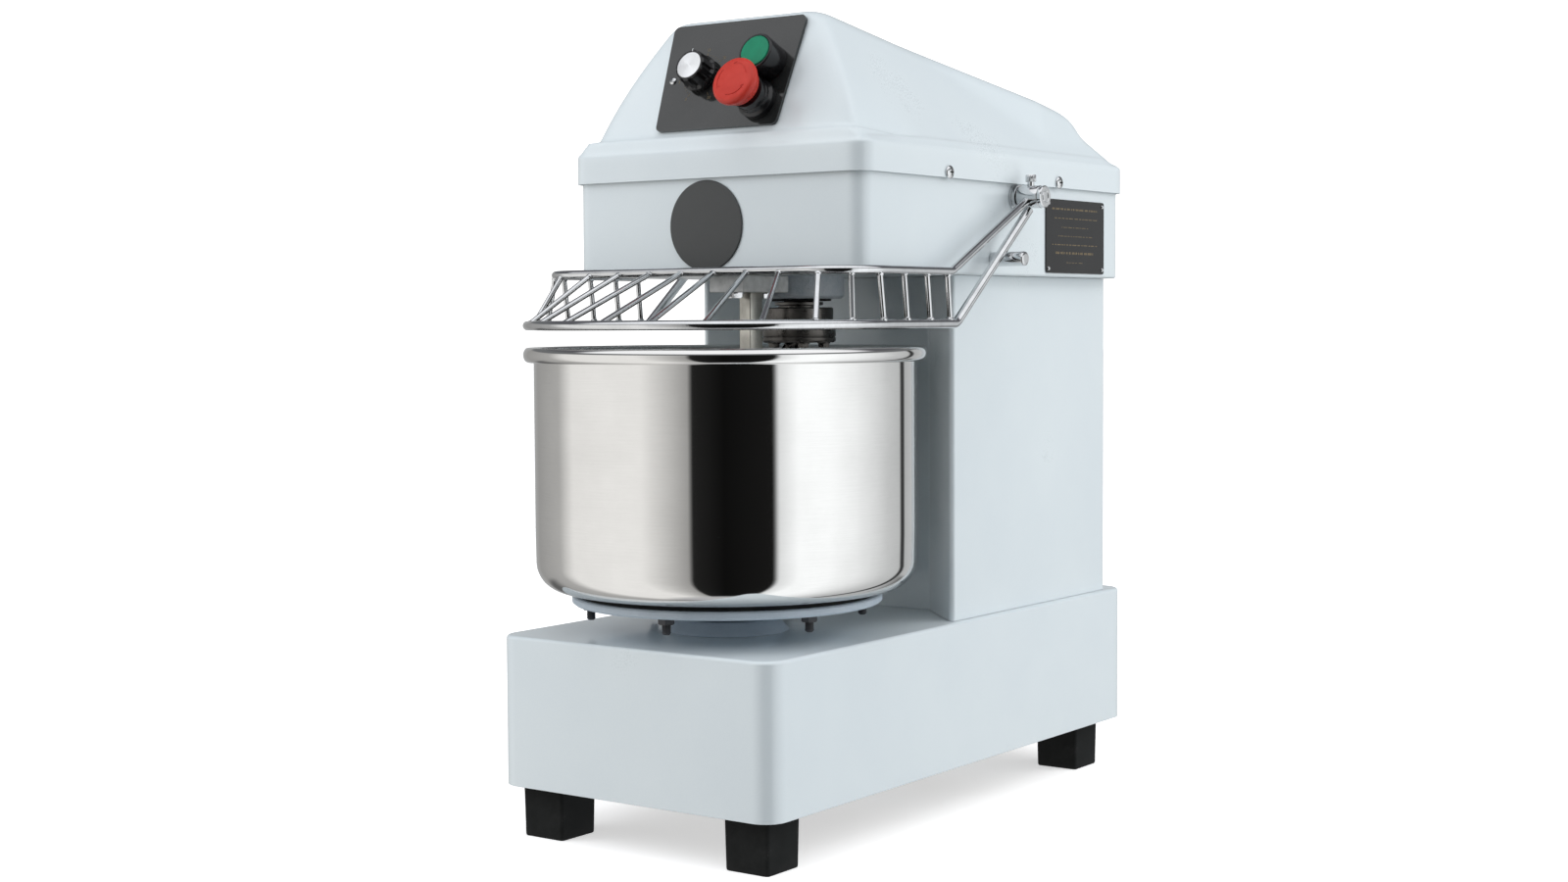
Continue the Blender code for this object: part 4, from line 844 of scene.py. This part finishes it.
def timer():
    """Ribbed collar on the panel, the fluted knob over it, and the knob's spun cap."""
    collar = fluted([(17.3, FACE, 0.9), (17.3, FACE + 2.0, 0.9), (16.6, FACE + 2.5, 0.6),
                     (9.0, FACE + 3.2, 0.0)], 24, 192, 0.6)
    piece("timer_collar", collar, "frame", "black_plastic", on_panel(*TIMER_AT), ["timer_switch"])
    low, high = FACE + 3.5, FACE + 23.0
    body = fluted([(17.4, low, 0.0), (18.4, low + 0.6, 0.0), (18.4, low + 3.0, 0.0),
                   (17.8, low + 4.0, 0.5), (17.0, low + 5.2, 1.7), (16.2, high - 2.2, 1.5),
                   (15.8, high - 1.0, 0.9), (15.0, high - 0.3, 0.1), (13.9, high - 0.1, 0.0)],
                  10, 160, 0.5)
    piece("timer_knob_body", body, "timer_knob_set", "black_plastic", on_panel(*TIMER_AT),
          ["timer_knob"])
    cap = turned([(0.0, high - 1.2), (13.7, high - 1.2), (13.7, high - 0.25), (13.0, high),
                  (0.0, high)], 72, 0.15)
    piece("timer_knob_cap", cap, "timer_knob_set", "black_plastic", on_panel(*TIMER_AT),
          paint="spun_aluminium")
    pointer = block(-0.35, 0.35, 14.0, 17.4, high - 2.0, high - 0.15, 0.1)
    piece("timer_knob_pointer", pointer, "timer_knob_set", "black_plastic", on_panel(*TIMER_AT),
          paint="spun_aluminium")


def start_button():
    bezel = turned([(10.0, FACE), (18.3, FACE), (18.3, FACE + 24.8), (17.4, FACE + 26.0),
                    (15.9, FACE + 26.0), (15.9, FACE + 9.0), (0.0, FACE + 9.0)], 72, 0.4)
    piece("start_bezel", bezel, "frame", "black_plastic", on_panel(*START_AT), ["start_switch"])
    cap = turned([(0.0, FACE + 14.0), (15.4, FACE + 14.0), (15.4, FACE + 26.2),
                  (14.8, FACE + 26.8), (0.0, FACE + 26.8)], 72, 0.25)
    piece("start_cap", cap, "start_button_set", "green_plastic", on_panel(*START_AT),
          ["start_button"])


def curved_arrow(start, sweep_angle, radius, height):
    """Cutter for an engraved arrow that runs round the face of the stop button."""
    def at(turn, offset):
        return (radius + offset) * cos(turn), (radius + offset) * sin(turn)

    line_half, head_half, head_length, depth = 0.75, 2.4, 0.2, 4.0
    turns = spread(start, start + sweep_angle, 16)
    back = turns[-1]
    line = [at(turn, line_half) for turn in turns] + [at(turn, -line_half) for turn in turns[::-1]]
    head = [at(back, head_half), at(back + head_length, 0.0), at(back, -head_half)]
    return prism(line, height, height + depth), prism(head, height, height + depth)


def stop_button():
    """Black ribbed collar and the red mushroom head, with arrows that show the way it twists."""
    collar = turned([(10.0, FACE), (19.3, FACE), (19.3, FACE + 6.0), (16.5, FACE + 8.0),
                     (16.5, FACE + 11.5), (15.9, FACE + 12.0), (15.9, FACE + 13.0),
                     (16.5, FACE + 13.5), (16.5, FACE + 20.0), (10.0, FACE + 20.0)], 72, 0.25)
    piece("stop_collar", collar, "frame", "black_plastic", on_panel(*STOP_AT), ["stop_switch"])
    top = FACE + 44.5
    tier = fluted([(9.0, FACE + 13.0, 0.0), (9.0, FACE + 26.5, 0.0), (18.2, FACE + 27.2, 0.0),
                   (19.0, FACE + 28.4, 0.35), (19.4, FACE + 33.5, 0.35), (21.0, FACE + 34.2, 0.0),
                   (21.8, FACE + 34.8, 0.0)], 40, 320, 1.0)
    profile = [(0.0, FACE + 34.0), (21.6, FACE + 34.0), (23.0, top - 8.0)]
    for angle in spread(radians(-20.0), radians(90.0), 6):
        profile.append((18.8 + 4.8 * cos(angle), top - 5.0 + 4.8 * sin(angle)))
    profile += [(9.0, top + 0.45), (0.0, top + 0.6)]
    head = turned(profile, 96, 0.2)
    arrows = []
    for start in (radians(20.0), radians(140.0), radians(260.0)):
        arrows += curved_arrow(start, radians(66.0), 16.0, top - 0.45)
    piece("stop_head", joined(carved(head, *arrows), tier), "stop_button_set", "red_plastic",
          on_panel(*STOP_AT), ["stop_button"])


# ---- head fittings

def badge():
    """Plain badge, with no mark on it."""
    disc = Span("badge_disc")
    plate = turned([(0.0, 0.0), (disc.radius, 0.0), (disc.radius, 1.0), (disc.radius - 0.6, 1.5),
                    (0.0, 1.5)], 128, 0.12)
    piece("badge_plate", plate, "frame", "badge_grey",
          facing(1, disc.x, disc.rear, disc.height), ["badge_disc"])


def rating_plate():
    """Black plate with worn print that says nothing, and a rivet in each corner."""
    half, up = (PLATE.rear - PLATE.front) / 2, (PLATE.top - PLATE.bottom) / 2
    place = (Matrix.Translation(world(PLATE.left, PLATE.depth, PLATE.height))
             @ Matrix.Rotation(pi / 2, 4, "Z") @ Matrix.Rotation(pi / 2, 4, "X"))
    plate = prism(rounded_rectangle(half, -up, up, 3.0), 0.0, 1.0, 0.25)
    piece("rating_plate_sheet", plate, "frame", "charcoal_gloss", place, ["rating_plate"],
          paint="black_gloss")
    marks = bmesh.new()
    rows = ((3.4, 0.40), (1.8, 0.36), (1.4, 0.24), (1.4, 0.30), (2.0, 0.40), (4.2, 0.34), (1.2, 0.16))
    for row, (size, reach) in enumerate(rows):
        height = up * 0.72 - row * up * 0.24
        x = -half * reach * 2
        while x < half * reach * 2 - 3:
            long = WORN.uniform(2.0, 9.0)
            marks = joined(marks, block(x, x + long, height, height + size * 0.55, 1.0, 1.04))
            x += long + WORN.uniform(1.2, 3.0)
    piece("rating_plate_print", marks, "frame", "charcoal_gloss", place, paint="gold_print")
    for name, x, rise in corners_of("rating_plate_rivet", half, up, 4.5, ("front", "rear")):
        rivet = turned([(0.0, 2.0), (1.4, 1.6), (2.1, 0.8), (2.1, 0.0), (0.0, 0.0)], 24, 0.2)
        piece(name, rivet, "frame", "chrome", moved(place, x, rise, 0.9))


# ---- wire guard

LOWER_RING = GUARD.bottom + LOWER_ROD
UPPER_RING = LOWER_RING + 48.8
UPPER_FRONT = 85.0  # depth of the upper ring's front
UPPER_CORNER = 55.0  # radius of its two bends


def lower_ring_point(turn):
    """Point of the lower ring, by the angle from straight ahead of the bowl's axis."""
    return Vector((GUARD_SIDE * sin(turn), BOWL.depth - GUARD_SIDE * cos(turn), LOWER_RING))


def lower_ring():
    left = bent_path([(-GUARD_SIDE, 400.0, 594.6), (-GUARD_SIDE, 262.0, LOWER_RING),
                      (-GUARD_SIDE, BOWL.depth + 5, LOWER_RING)], [14.0])
    arc = [lower_ring_point(turn) for turn in spread(-pi / 2, pi / 2, 72)]
    right = [Vector((-point.x, point.y, point.z)) for point in reversed(left)]
    return left[:-1] + arc + right[1:]


def upper_ring():
    corners = [(-GUARD_SIDE, 396.0, 603.4), (-GUARD_SIDE, 254.0, UPPER_RING),
               (-GUARD_SIDE, UPPER_FRONT, UPPER_RING), (GUARD_SIDE, UPPER_FRONT, UPPER_RING),
               (GUARD_SIDE, 254.0, UPPER_RING), (GUARD_SIDE, 396.0, 603.4)]
    return bent_path(corners, [14.0, UPPER_CORNER, UPPER_CORNER, 14.0], 16)


def rungs():
    """End points of the bars between the rings: nine across the front, five down each side."""
    pairs = []
    for place, x in zip(range(-4, 5), (-150, -110, -74, -37, 0, 37, 74, 110, 150)):
        depth = UPPER_FRONT
        if abs(x) == 150:  # the outermost two start where the upper ring has begun to bend
            depth += UPPER_CORNER * (1 - cos(asin(18 / UPPER_CORNER)))
        pairs.append(((x, depth, UPPER_RING), lower_ring_point(radians(15.5 * place))))
    turned_by = radians(50)  # how far round the upper ring's bend its own rung stands
    bend = (GUARD_SIDE - UPPER_CORNER * (1 - sin(turned_by)),
            UPPER_FRONT + UPPER_CORNER * (1 - cos(turned_by)))
    for side in (-1, 1):
        pairs.append(((side * bend[0], bend[1], UPPER_RING), (side * 179.8, 98.1, LOWER_RING)))
        for top, bottom in ((131.0, 138.0), (171.0, 177.0), (210.0, 216.0), (246.0, 251.0)):
            pairs.append(((side * GUARD_SIDE, top, UPPER_RING),
                          (side * GUARD_SIDE, bottom, LOWER_RING)))
    return pairs


def guard():
    """Welded wire guard: two rings, the rungs between them, weld beads and collars."""
    wires = [sweep(lower_ring(), LOWER_ROD, 24), sweep(upper_ring(), UPPER_ROD, 24)]
    for top, bottom in rungs():
        top, bottom = Vector(top), Vector(bottom)
        lean = (top - bottom).normalized()
        wires.append(sweep([bottom + lean * 0.4, bottom.lerp(top, 0.5), top - lean * 0.4], RUNG, 16))
        wires.append(bead(bottom + lean * 4.2, 3.6))
        wires.append(bead(top - lean * 3.8, 3.4))
    piece("guard_wires", joined(*wires), "guard_set", "chrome", replaces=["guard"], sharp=50.0)
    for side, name in SIDES:
        collar = turned([(6.6, 176.0), (11.2, 176.0), (11.2, 199.2), (6.6, 199.2)], 48, 0.8, True)
        piece(f"guard_collar_{name}", collar, "guard_set", "chrome",
              sideways(side, PIVOT.depth, PIVOT.height))
        low = PIVOT.height + 11.2
        cap = fluted([(3.3, low - 0.6, 0.0), (3.3, low + 3.6, 0.0), (4.7, low + 3.8, 0.3),
                      (5.2, low + 4.3, 0.3), (5.2, low + 10.0, 0.3), (4.6, low + 10.8, 0.0)],
                     20, 120, 1.0)
        piece(f"guard_screw_{name}", cap, "guard_set", "chrome",
              upright(PIVOT.depth, side * GUARD_SIDE), [f"guard_set_screw_{name}"])


def pivots_and_pegs():
    for side, name in SIDES:
        wall = HEAD.right + 0.3
        pin = turned([(0.0, wall), (12.8, wall), (12.8, wall + 1.9), (11.4, wall + 2.3),
                      (11.4, wall + 2.9), (12.4, wall + 3.3), (12.4, wall + 5.6), (6.0, wall + 6.0),
                      (6.0, 199.6), (10.9, 199.6), (10.9, 203.0), (9.9, 203.7), (6.4, 203.7),
                      (6.1, 203.1), (5.2, 203.1), (4.9, 203.7), (0.0, 203.9)], 48, 0.12)
        piece(f"pivot_pin_{name}", pin, "frame", "dark_steel",
              sideways(side, PIVOT.depth, PIVOT.height), [f"guard_pivot_{name}"],
              paint="chrome")
        rest = Span(f"guard_rest_{name}")
        peg = turned([(0.0, wall), (7.1, wall), (7.1, 204.6), (6.6, 205.9), (4.5, 206.5),
                      (0.0, 206.6)], 48, 0.5)
        piece(f"guard_peg_{name}", peg, "frame", "chrome",
              sideways(side, rest.depth, rest.height), [f"guard_rest_{name}"])


# ---- bar, spindle and hook

def breaker_bar():
    bar = Span("breaker_bar")
    flange_bottom = 513.8
    flange = block(bar.left, bar.right, bar.front, bar.rear, flange_bottom, bar.top, 1.2)
    piece("breaker_flange", flange, "frame", "ground_steel", replaces=["breaker_bar"],
          paint="pale_casting")
    blade = block(-7.0, 7.0, 180.0, 200.0, bar.bottom, flange_bottom + 4, 1.6)
    piece("breaker_blade", blade, "frame", "ground_steel")
    for depth, name in ((165.0, "front"), (213.0, "rear")):
        hex_head(f"breaker_bolt_{name}", "frame", depth, 0.0, flange_bottom, 8.4, 5.4, "chrome")


def hex_head(name, body, depth, x, seat, radius, height, slot):
    """Hexagon head below a seat, with its washer."""
    head = prism(circle(0.0, 0.0, radius, 6), -height, -1.2)
    bevel_level(head, -height, radius * 0.12, segments=2)
    washer = prism(circle(0.0, 0.0, radius * 1.08, 32), -1.2, 0.0)
    piece(name, joined(head, washer), body, slot, upright(depth, x, seat))


def spindle_housing():
    housing = Span("spindle_housing")
    bottom = housing.bottom
    shell = turned([(17.0, bottom + 0.6), (42.0, bottom), (45.0, bottom + 2.6), (45.0, 533.0),
                    (30.0, 533.0)], 72, 0.8)
    # its paint is the lighter copy of the casting paint, as painted light for the shade under the head
    piece("spindle_casting", shell, "frame", "casting", upright(HOOK.depth),
          ["spindle_housing"], paint="lit_casting")


def spindle():
    low, high = HOOK.bottom, 499.6
    disc = turned([(0.0, low), (33.0, low), (34.0, low + 0.9), (34.0, low + 5.4),
                   (33.3, low + 5.8), (33.3, low + 6.6), (34.0, low + 7.0), (34.0, high - 1.0),
                   (33.0, high), (20.4, high), (20.4, 501.6), (24.0, 502.0), (24.0, 505.0),
                   (15.0, 505.4), (15.0, 511.0)], 72, 0.2)
    shaft = turned([(0.0, 505.0), (12.5, 505.0), (12.5, 632.0), (0.0, 633.0)], 32, 0.3)
    piece("spindle_disc", joined(disc, shaft), "hook_set", "dark_steel", upright(HOOK.depth),
          ["spindle"])


def hook_path():
    """Centre line of the spiral bar: out from the hub, then down round the sweep radius."""
    top, tip, full_reach, turns = 470.0, 253.0, 41.0, 1.35
    path = []
    for share in spread(0.0, 1.0, 150):
        # the bar swings out over its first quarter, and draws in a little towards its tip
        reach = full_reach * sin(min(1.0, share / 0.24) * pi / 2)
        tail = max(0.0, (share - 0.86) / 0.14)
        reach -= 12.0 * tail * tail
        angle = radians(-70) - 2 * pi * turns * share ** 1.1
        drop = (1 - cos(min(1.0, share / 0.2) * pi / 2)) * 0.12 + 0.88 * share ** 0.92
        path.append(Vector((reach * cos(angle), reach * sin(angle), top - (top - tip) * drop)))
    return path


def spiral_hook():
    """Polished spiral with a bolted flange of dark steel."""
    path = hook_path()
    last = len(path) - 1
    tail = 27  # number of points over which the bar thins to its tip
    full, thinned = 10.5, 0.45
    thickness = [full * (1.0 - thinned * max(0.0, (index - last + tail) / tail) ** 1.5)
                 for index in range(len(path))]
    piece("hook_spiral", sweep(path, thickness, 28), "hook_set", "dark_steel",
          upright(HOOK.depth), sharp=60.0, paint="stainless")
    flange = turned([(0.0, 465.0), (34.5, 465.0), (36.5, 466.6), (36.5, 469.6), (35.9, 470.0),
                     (35.9, 470.8), (36.5, 471.2), (36.5, 477.6), (35.5, 479.2), (0.0, 479.2)],
                    72, 0.2)
    piece("hook_flange", flange, "hook_set", "dark_steel", upright(HOOK.depth), ["spiral_hook"])
    for corner in range(4):
        angle = pi / 4 + corner * pi / 2
        hex_head(f"hook_bolt_{corner + 1}", "hook_set", HOOK.depth + 25.0 * sin(angle),
                 25.0 * cos(angle), 465.0, 6.0, 5.0, "dark_steel")


# ---- bowl and turntable

BOWL_RADIUS = 181.6
RIM_HALF_WIDTH = 4.9  # the rolled rim is taller than it is wide
RIM_HALF_HEIGHT = 7.0
NUT_BOTTOM = 213.5


def quarter(reach, bottom, radius):
    """Rounded corner between a floor and a wall, from the floor up."""
    return [(reach - radius * (1 - sin(angle)), bottom + radius * (1 - cos(angle)))
            for angle in spread(0.0, pi / 2, 12)]


def bowl():
    """Polished bowl with a rolled rim."""
    wall, corner, outer = 1.5, 27.0, BOWL_RADIUS
    floor, rim = BOWL.bottom, BOWL.top
    line = [(0.0, floor), *quarter(outer - 0.4, floor, corner)]
    neck = rim - 2 * RIM_HALF_HEIGHT - 1.4
    line += [(outer, floor + corner + 30.0), (outer, neck - 20.0), (outer, neck)]
    centre = (outer + RIM_HALF_WIDTH, rim - RIM_HALF_HEIGHT)
    for angle in spread(radians(205.0), radians(440.0), 24):
        line.append((centre[0] + RIM_HALF_WIDTH * cos(angle),
                     centre[1] + RIM_HALF_HEIGHT * sin(angle)))
    line += [(outer + 1.2, rim - 0.6), (outer - 0.8, rim - 2.0), (outer - wall, rim - 4.4),
             (outer - wall, neck)]
    line += quarter(outer - wall - 0.4, floor + wall, corner - wall)[::-1]
    line.append((0.0, floor + wall))
    piece("bowl_shell", spun(line, 192), "bowl_set", "stainless", upright(BOWL.depth), ["bowl"],
          sharp=50.0)


def turntable():
    """Painted disc that carries the bowl, with the nuts and stud ends that show under it."""
    radius, low, high = TABLE.radius, 220.0, TABLE.top
    disc = turned([(0.0, 206.6), (44.0, 206.6), (45.0, 208.0), (45.0, low), (radius - 2.5, low),
                   (radius, low + 2.0), (radius, high - 1.4), (radius - 1.4, high), (0.0, high)],
                  144, 0.6)
    piece("turntable_disc", disc, "bowl_set", "casting", upright(BOWL.depth), ["turntable"],
          paint="table_paint")
    for index in range(6):
        angle = radians(42) + 2 * pi * index / 6
        place = upright(BOWL.depth + 130.0 * sin(angle), 130.0 * cos(angle))
        nut = prism(circle(0.0, 0.0, 8.0, 6), NUT_BOTTOM, low + 0.5)
        bevel_level(nut, NUT_BOTTOM, 0.7, segments=2)
        piece(f"table_nut_{index + 1}", nut, "bowl_set", "casting", place,
              paint="cast_iron")
        grooves = [(0.0, 204.0), (2.4, 204.1), (3.5, 204.8), (4.2, 206.0)]
        for turn in range(7):
            grooves += [(4.2, 206.4 + turn), (3.7, 206.9 + turn)]
        stud = turned([*grooves, (4.2, 214.5), (0.0, 214.5)], 24, 0.08)
        piece(f"table_stud_{index + 1}", stud, "bowl_set", "casting", place,
              paint="cast_iron")


def bowl_hub():
    hub = Span("bowl_hub")
    top = hub.top
    seat = BASE.top + 0.2
    cone = turned([(30.0, seat), (59.0, seat), (58.4, seat + 1.0), (49.0, top - 0.6), (47.8, top),
                   (31.3, top)], 96, 0.4)
    piece("hub_cone", cone, "frame", "casting", upright(BOWL.depth), ["bowl_hub"],
          paint="table_paint")


# ---- feet

def feet():
    for end in ("front", "rear"):
        for side in ("left", "right"):
            node = f"foot_{end}_{side}"
            span = Span(node)
            half, top = span.radius, 51.7
            loops = []
            for height, share, corner in ((0.0, 0.93, 3.0), (0.8, 0.955, 3.3), (2.4, 0.965, 3.5),
                                          (10.0, 0.97, 3.5), (30.0, 0.985, 3.5),
                                          (top - 0.4, 1.0, 3.5), (top, 0.985, 3.3)):
                reach = half * share
                loops.append(at_height(rounded_rectangle(reach, -reach, reach, corner, 5), height))
            piece(f"rubber_{node}", loft(loops), "frame", "rubber", upright(span.depth, span.x),
                  [node])


# ---- studio

PANEL_PEAK = 1.4  # brightness of the studio's brightest panel
CAMERA_YAW = radians(35.741)
CAMERA_PITCH = radians(3.1085)
CAMERA_ROLL = radians(-0.3143)
CAMERA_LENS = 50.873
CAMERA_AT = Vector((1.2748, -1.8457, 0.4867))
TO_CAMERA = Vector((sin(CAMERA_YAW), -cos(CAMERA_YAW), 0.0))
CAMERA_RIGHT = Vector((cos(CAMERA_YAW), sin(CAMERA_YAW), 0.0))


def camera():
    lens = bpy.data.cameras.new("camera")
    lens.lens = CAMERA_LENS
    lens.sensor_width = 36.0
    made = add_object("camera", lens)
    made.matrix_world = (Matrix.Translation(CAMERA_AT) @ Matrix.Rotation(CAMERA_YAW, 4, "Z")
                         @ Matrix.Rotation(pi / 2 - CAMERA_PITCH, 4, "X")
                         @ Matrix.Rotation(CAMERA_ROLL, 4, "Z"))
    bpy.context.scene.camera = made


def panorama_stops():
    """Studio as mirrored in upright metal, by the angle from straight behind the camera."""
    warm, cool = Vector((1.0, 0.99, 0.97)), Vector((0.97, 0.99, 1.0))
    levels = ((-180, 0.50, cool), (-150, 0.36, warm), (-116, 0.52, warm), (-102, 1.0, warm),
              (-70, 1.04, warm), (-50, 1.04, warm), (-34, 0.70, warm), (-21, 0.42, warm),
              (-18.7, 0.02, warm), (0, 0.006, warm), (29, 0.012, warm), (32, 0.95, cool),
              (44, 1.32, cool), (64, 1.34, cool), (84, 1.15, cool), (98, 0.95, cool),
              (112, 0.74, cool), (127, 0.62, cool), (129, 0.05, cool), (133, 0.05, cool),
              (135, 0.55, cool), (150, 0.62, cool), (180, 0.50, cool))
    return [((angle + 180.0) / 360.0, tuple(tone * level / PANEL_PEAK))
            for angle, level, tone in levels]


def studio_light():
    """White backdrop to the camera; to everything else a ring of panels with a dark gap."""
    made = bpy.data.worlds.new("studio")
    made.use_nodes = True
    tree = made.node_tree
    tree.nodes.clear()
    ray = add_node(tree, "TexCoord", {}, "Generated")

    def dot(axis):
        return add_node(tree, "VectorMath", {0: ray, 1: axis}, "Value", operation="DOT_PRODUCT")

    def math(operation, first, second):
        return add_node(tree, "Math", {0: first, 1: second}, operation=operation)

    def beyond(value, start, end):
        return add_node(tree, "MapRange", {"Value": value, "From Min": start, "From Max": end},
                        "Result", interpolation_type="SMOOTHSTEP")

    def mixed(share, first, second):
        return add_node(tree, "Mix", {"Factor": share, 6: first, 7: second}, 2, data_type="RGBA")

    def grey(level, blue=0.0):
        return level, level, level + blue, 1.0

    height = dot(Vector((0.0, 0.0, 1.0)))
    towards_camera = dot(TO_CAMERA)
    in_front = beyond(towards_camera, -0.25, 0.05)
    far_behind = beyond(towards_camera, -0.55, -0.8)
    turn = math("DIVIDE", math("ARCTAN2", dot(CAMERA_RIGHT), towards_camera), 2 * pi)
    ring = ramp(tree, math("ADD", turn, 0.5), panorama_stops())
    ceiling = mixed(in_front, grey(0.10, 0.01), (0.86, 0.87, 0.89, 1.0))
    ground = mixed(in_front, grey(0.08), grey(0.42, 0.01))
    lit = mixed(beyond(height, 0.22, 0.30), ring, (0.13, 0.135, 0.14, 1.0))
    lit = mixed(beyond(height, 0.42, 0.50), lit, ceiling)
    lit = mixed(math("MULTIPLY", beyond(height, -0.28, -0.38), far_behind), lit, grey(0.10))
    lit = mixed(beyond(height, -0.93, -0.98), lit, ground)
    seen = mixed(add_node(tree, "LightPath", {}, "Is Camera Ray"), lit, grey(1.0))
    background = add_node(tree, "Background", {"Color": seen, "Strength": PANEL_PEAK})
    fill(tree, tree.nodes.new("ShaderNodeOutputWorld"), {"Surface": background})
    bpy.context.scene.world = made


def softbox(name, angle, height, distance, size, power, tone=(1.0, 1.0, 1.0)):
    """Square light aimed at the machine's middle; the angle is from straight behind the camera."""
    lamp = bpy.data.lights.new(name, "AREA")
    lamp.size = size
    lamp.energy = power
    lamp.color = tone
    target = Vector((0.0, 0.0, 0.4))
    flat = TO_CAMERA * cos(radians(angle)) + CAMERA_RIGHT * sin(radians(angle))
    spot = flat * distance + Vector((0.0, 0.0, height))
    made = add_object(name, lamp)
    made.location = spot
    made.rotation_euler = (target - spot).to_track_quat("-Z", "Y").to_euler()
    made.visible_camera = False
    made.visible_glossy = False


def floor():
    """Pale studio floor. Polished metal mirrors the studio's panels and not the floor."""
    bm = bmesh.new()
    bmesh.ops.create_grid(bm, x_segments=8, y_segments=8, size=30.0)
    made = object_from("studio_floor", bm)
    made.data.materials.append(FINISHES["paper"])
    made.visible_glossy = False
    made.visible_diffuse = False


# ---- whole scene

def build():
    slot_finishes()
    other_finishes()
    camera()
    studio_light()
    softbox("key_light", angle=98.0, height=1.4, distance=2.2, size=1.4, power=22.0)
    softbox("fill_light", angle=-84.0, height=1.5, distance=2.4, size=1.6, power=21.5,
            tone=(0.97, 0.98, 1.0))
    softbox("top_light", angle=0.0, height=2.6, distance=0.2, size=1.8, power=10.5)
    floor()
    bpy.context.scene.view_settings.view_transform = "Standard"

    paint_cad_nodes()
    for make in (base_housing, column_housing, rear_cover, head_housing, top_cover, lid_screws,
                 control_panel, dial_marks, timer, start_button, stop_button, badge, rating_plate,
                 pivots_and_pegs, guard, breaker_bar, spindle_housing, spindle, spiral_hook, bowl,
                 turntable, bowl_hub, feet):
        make()


build()
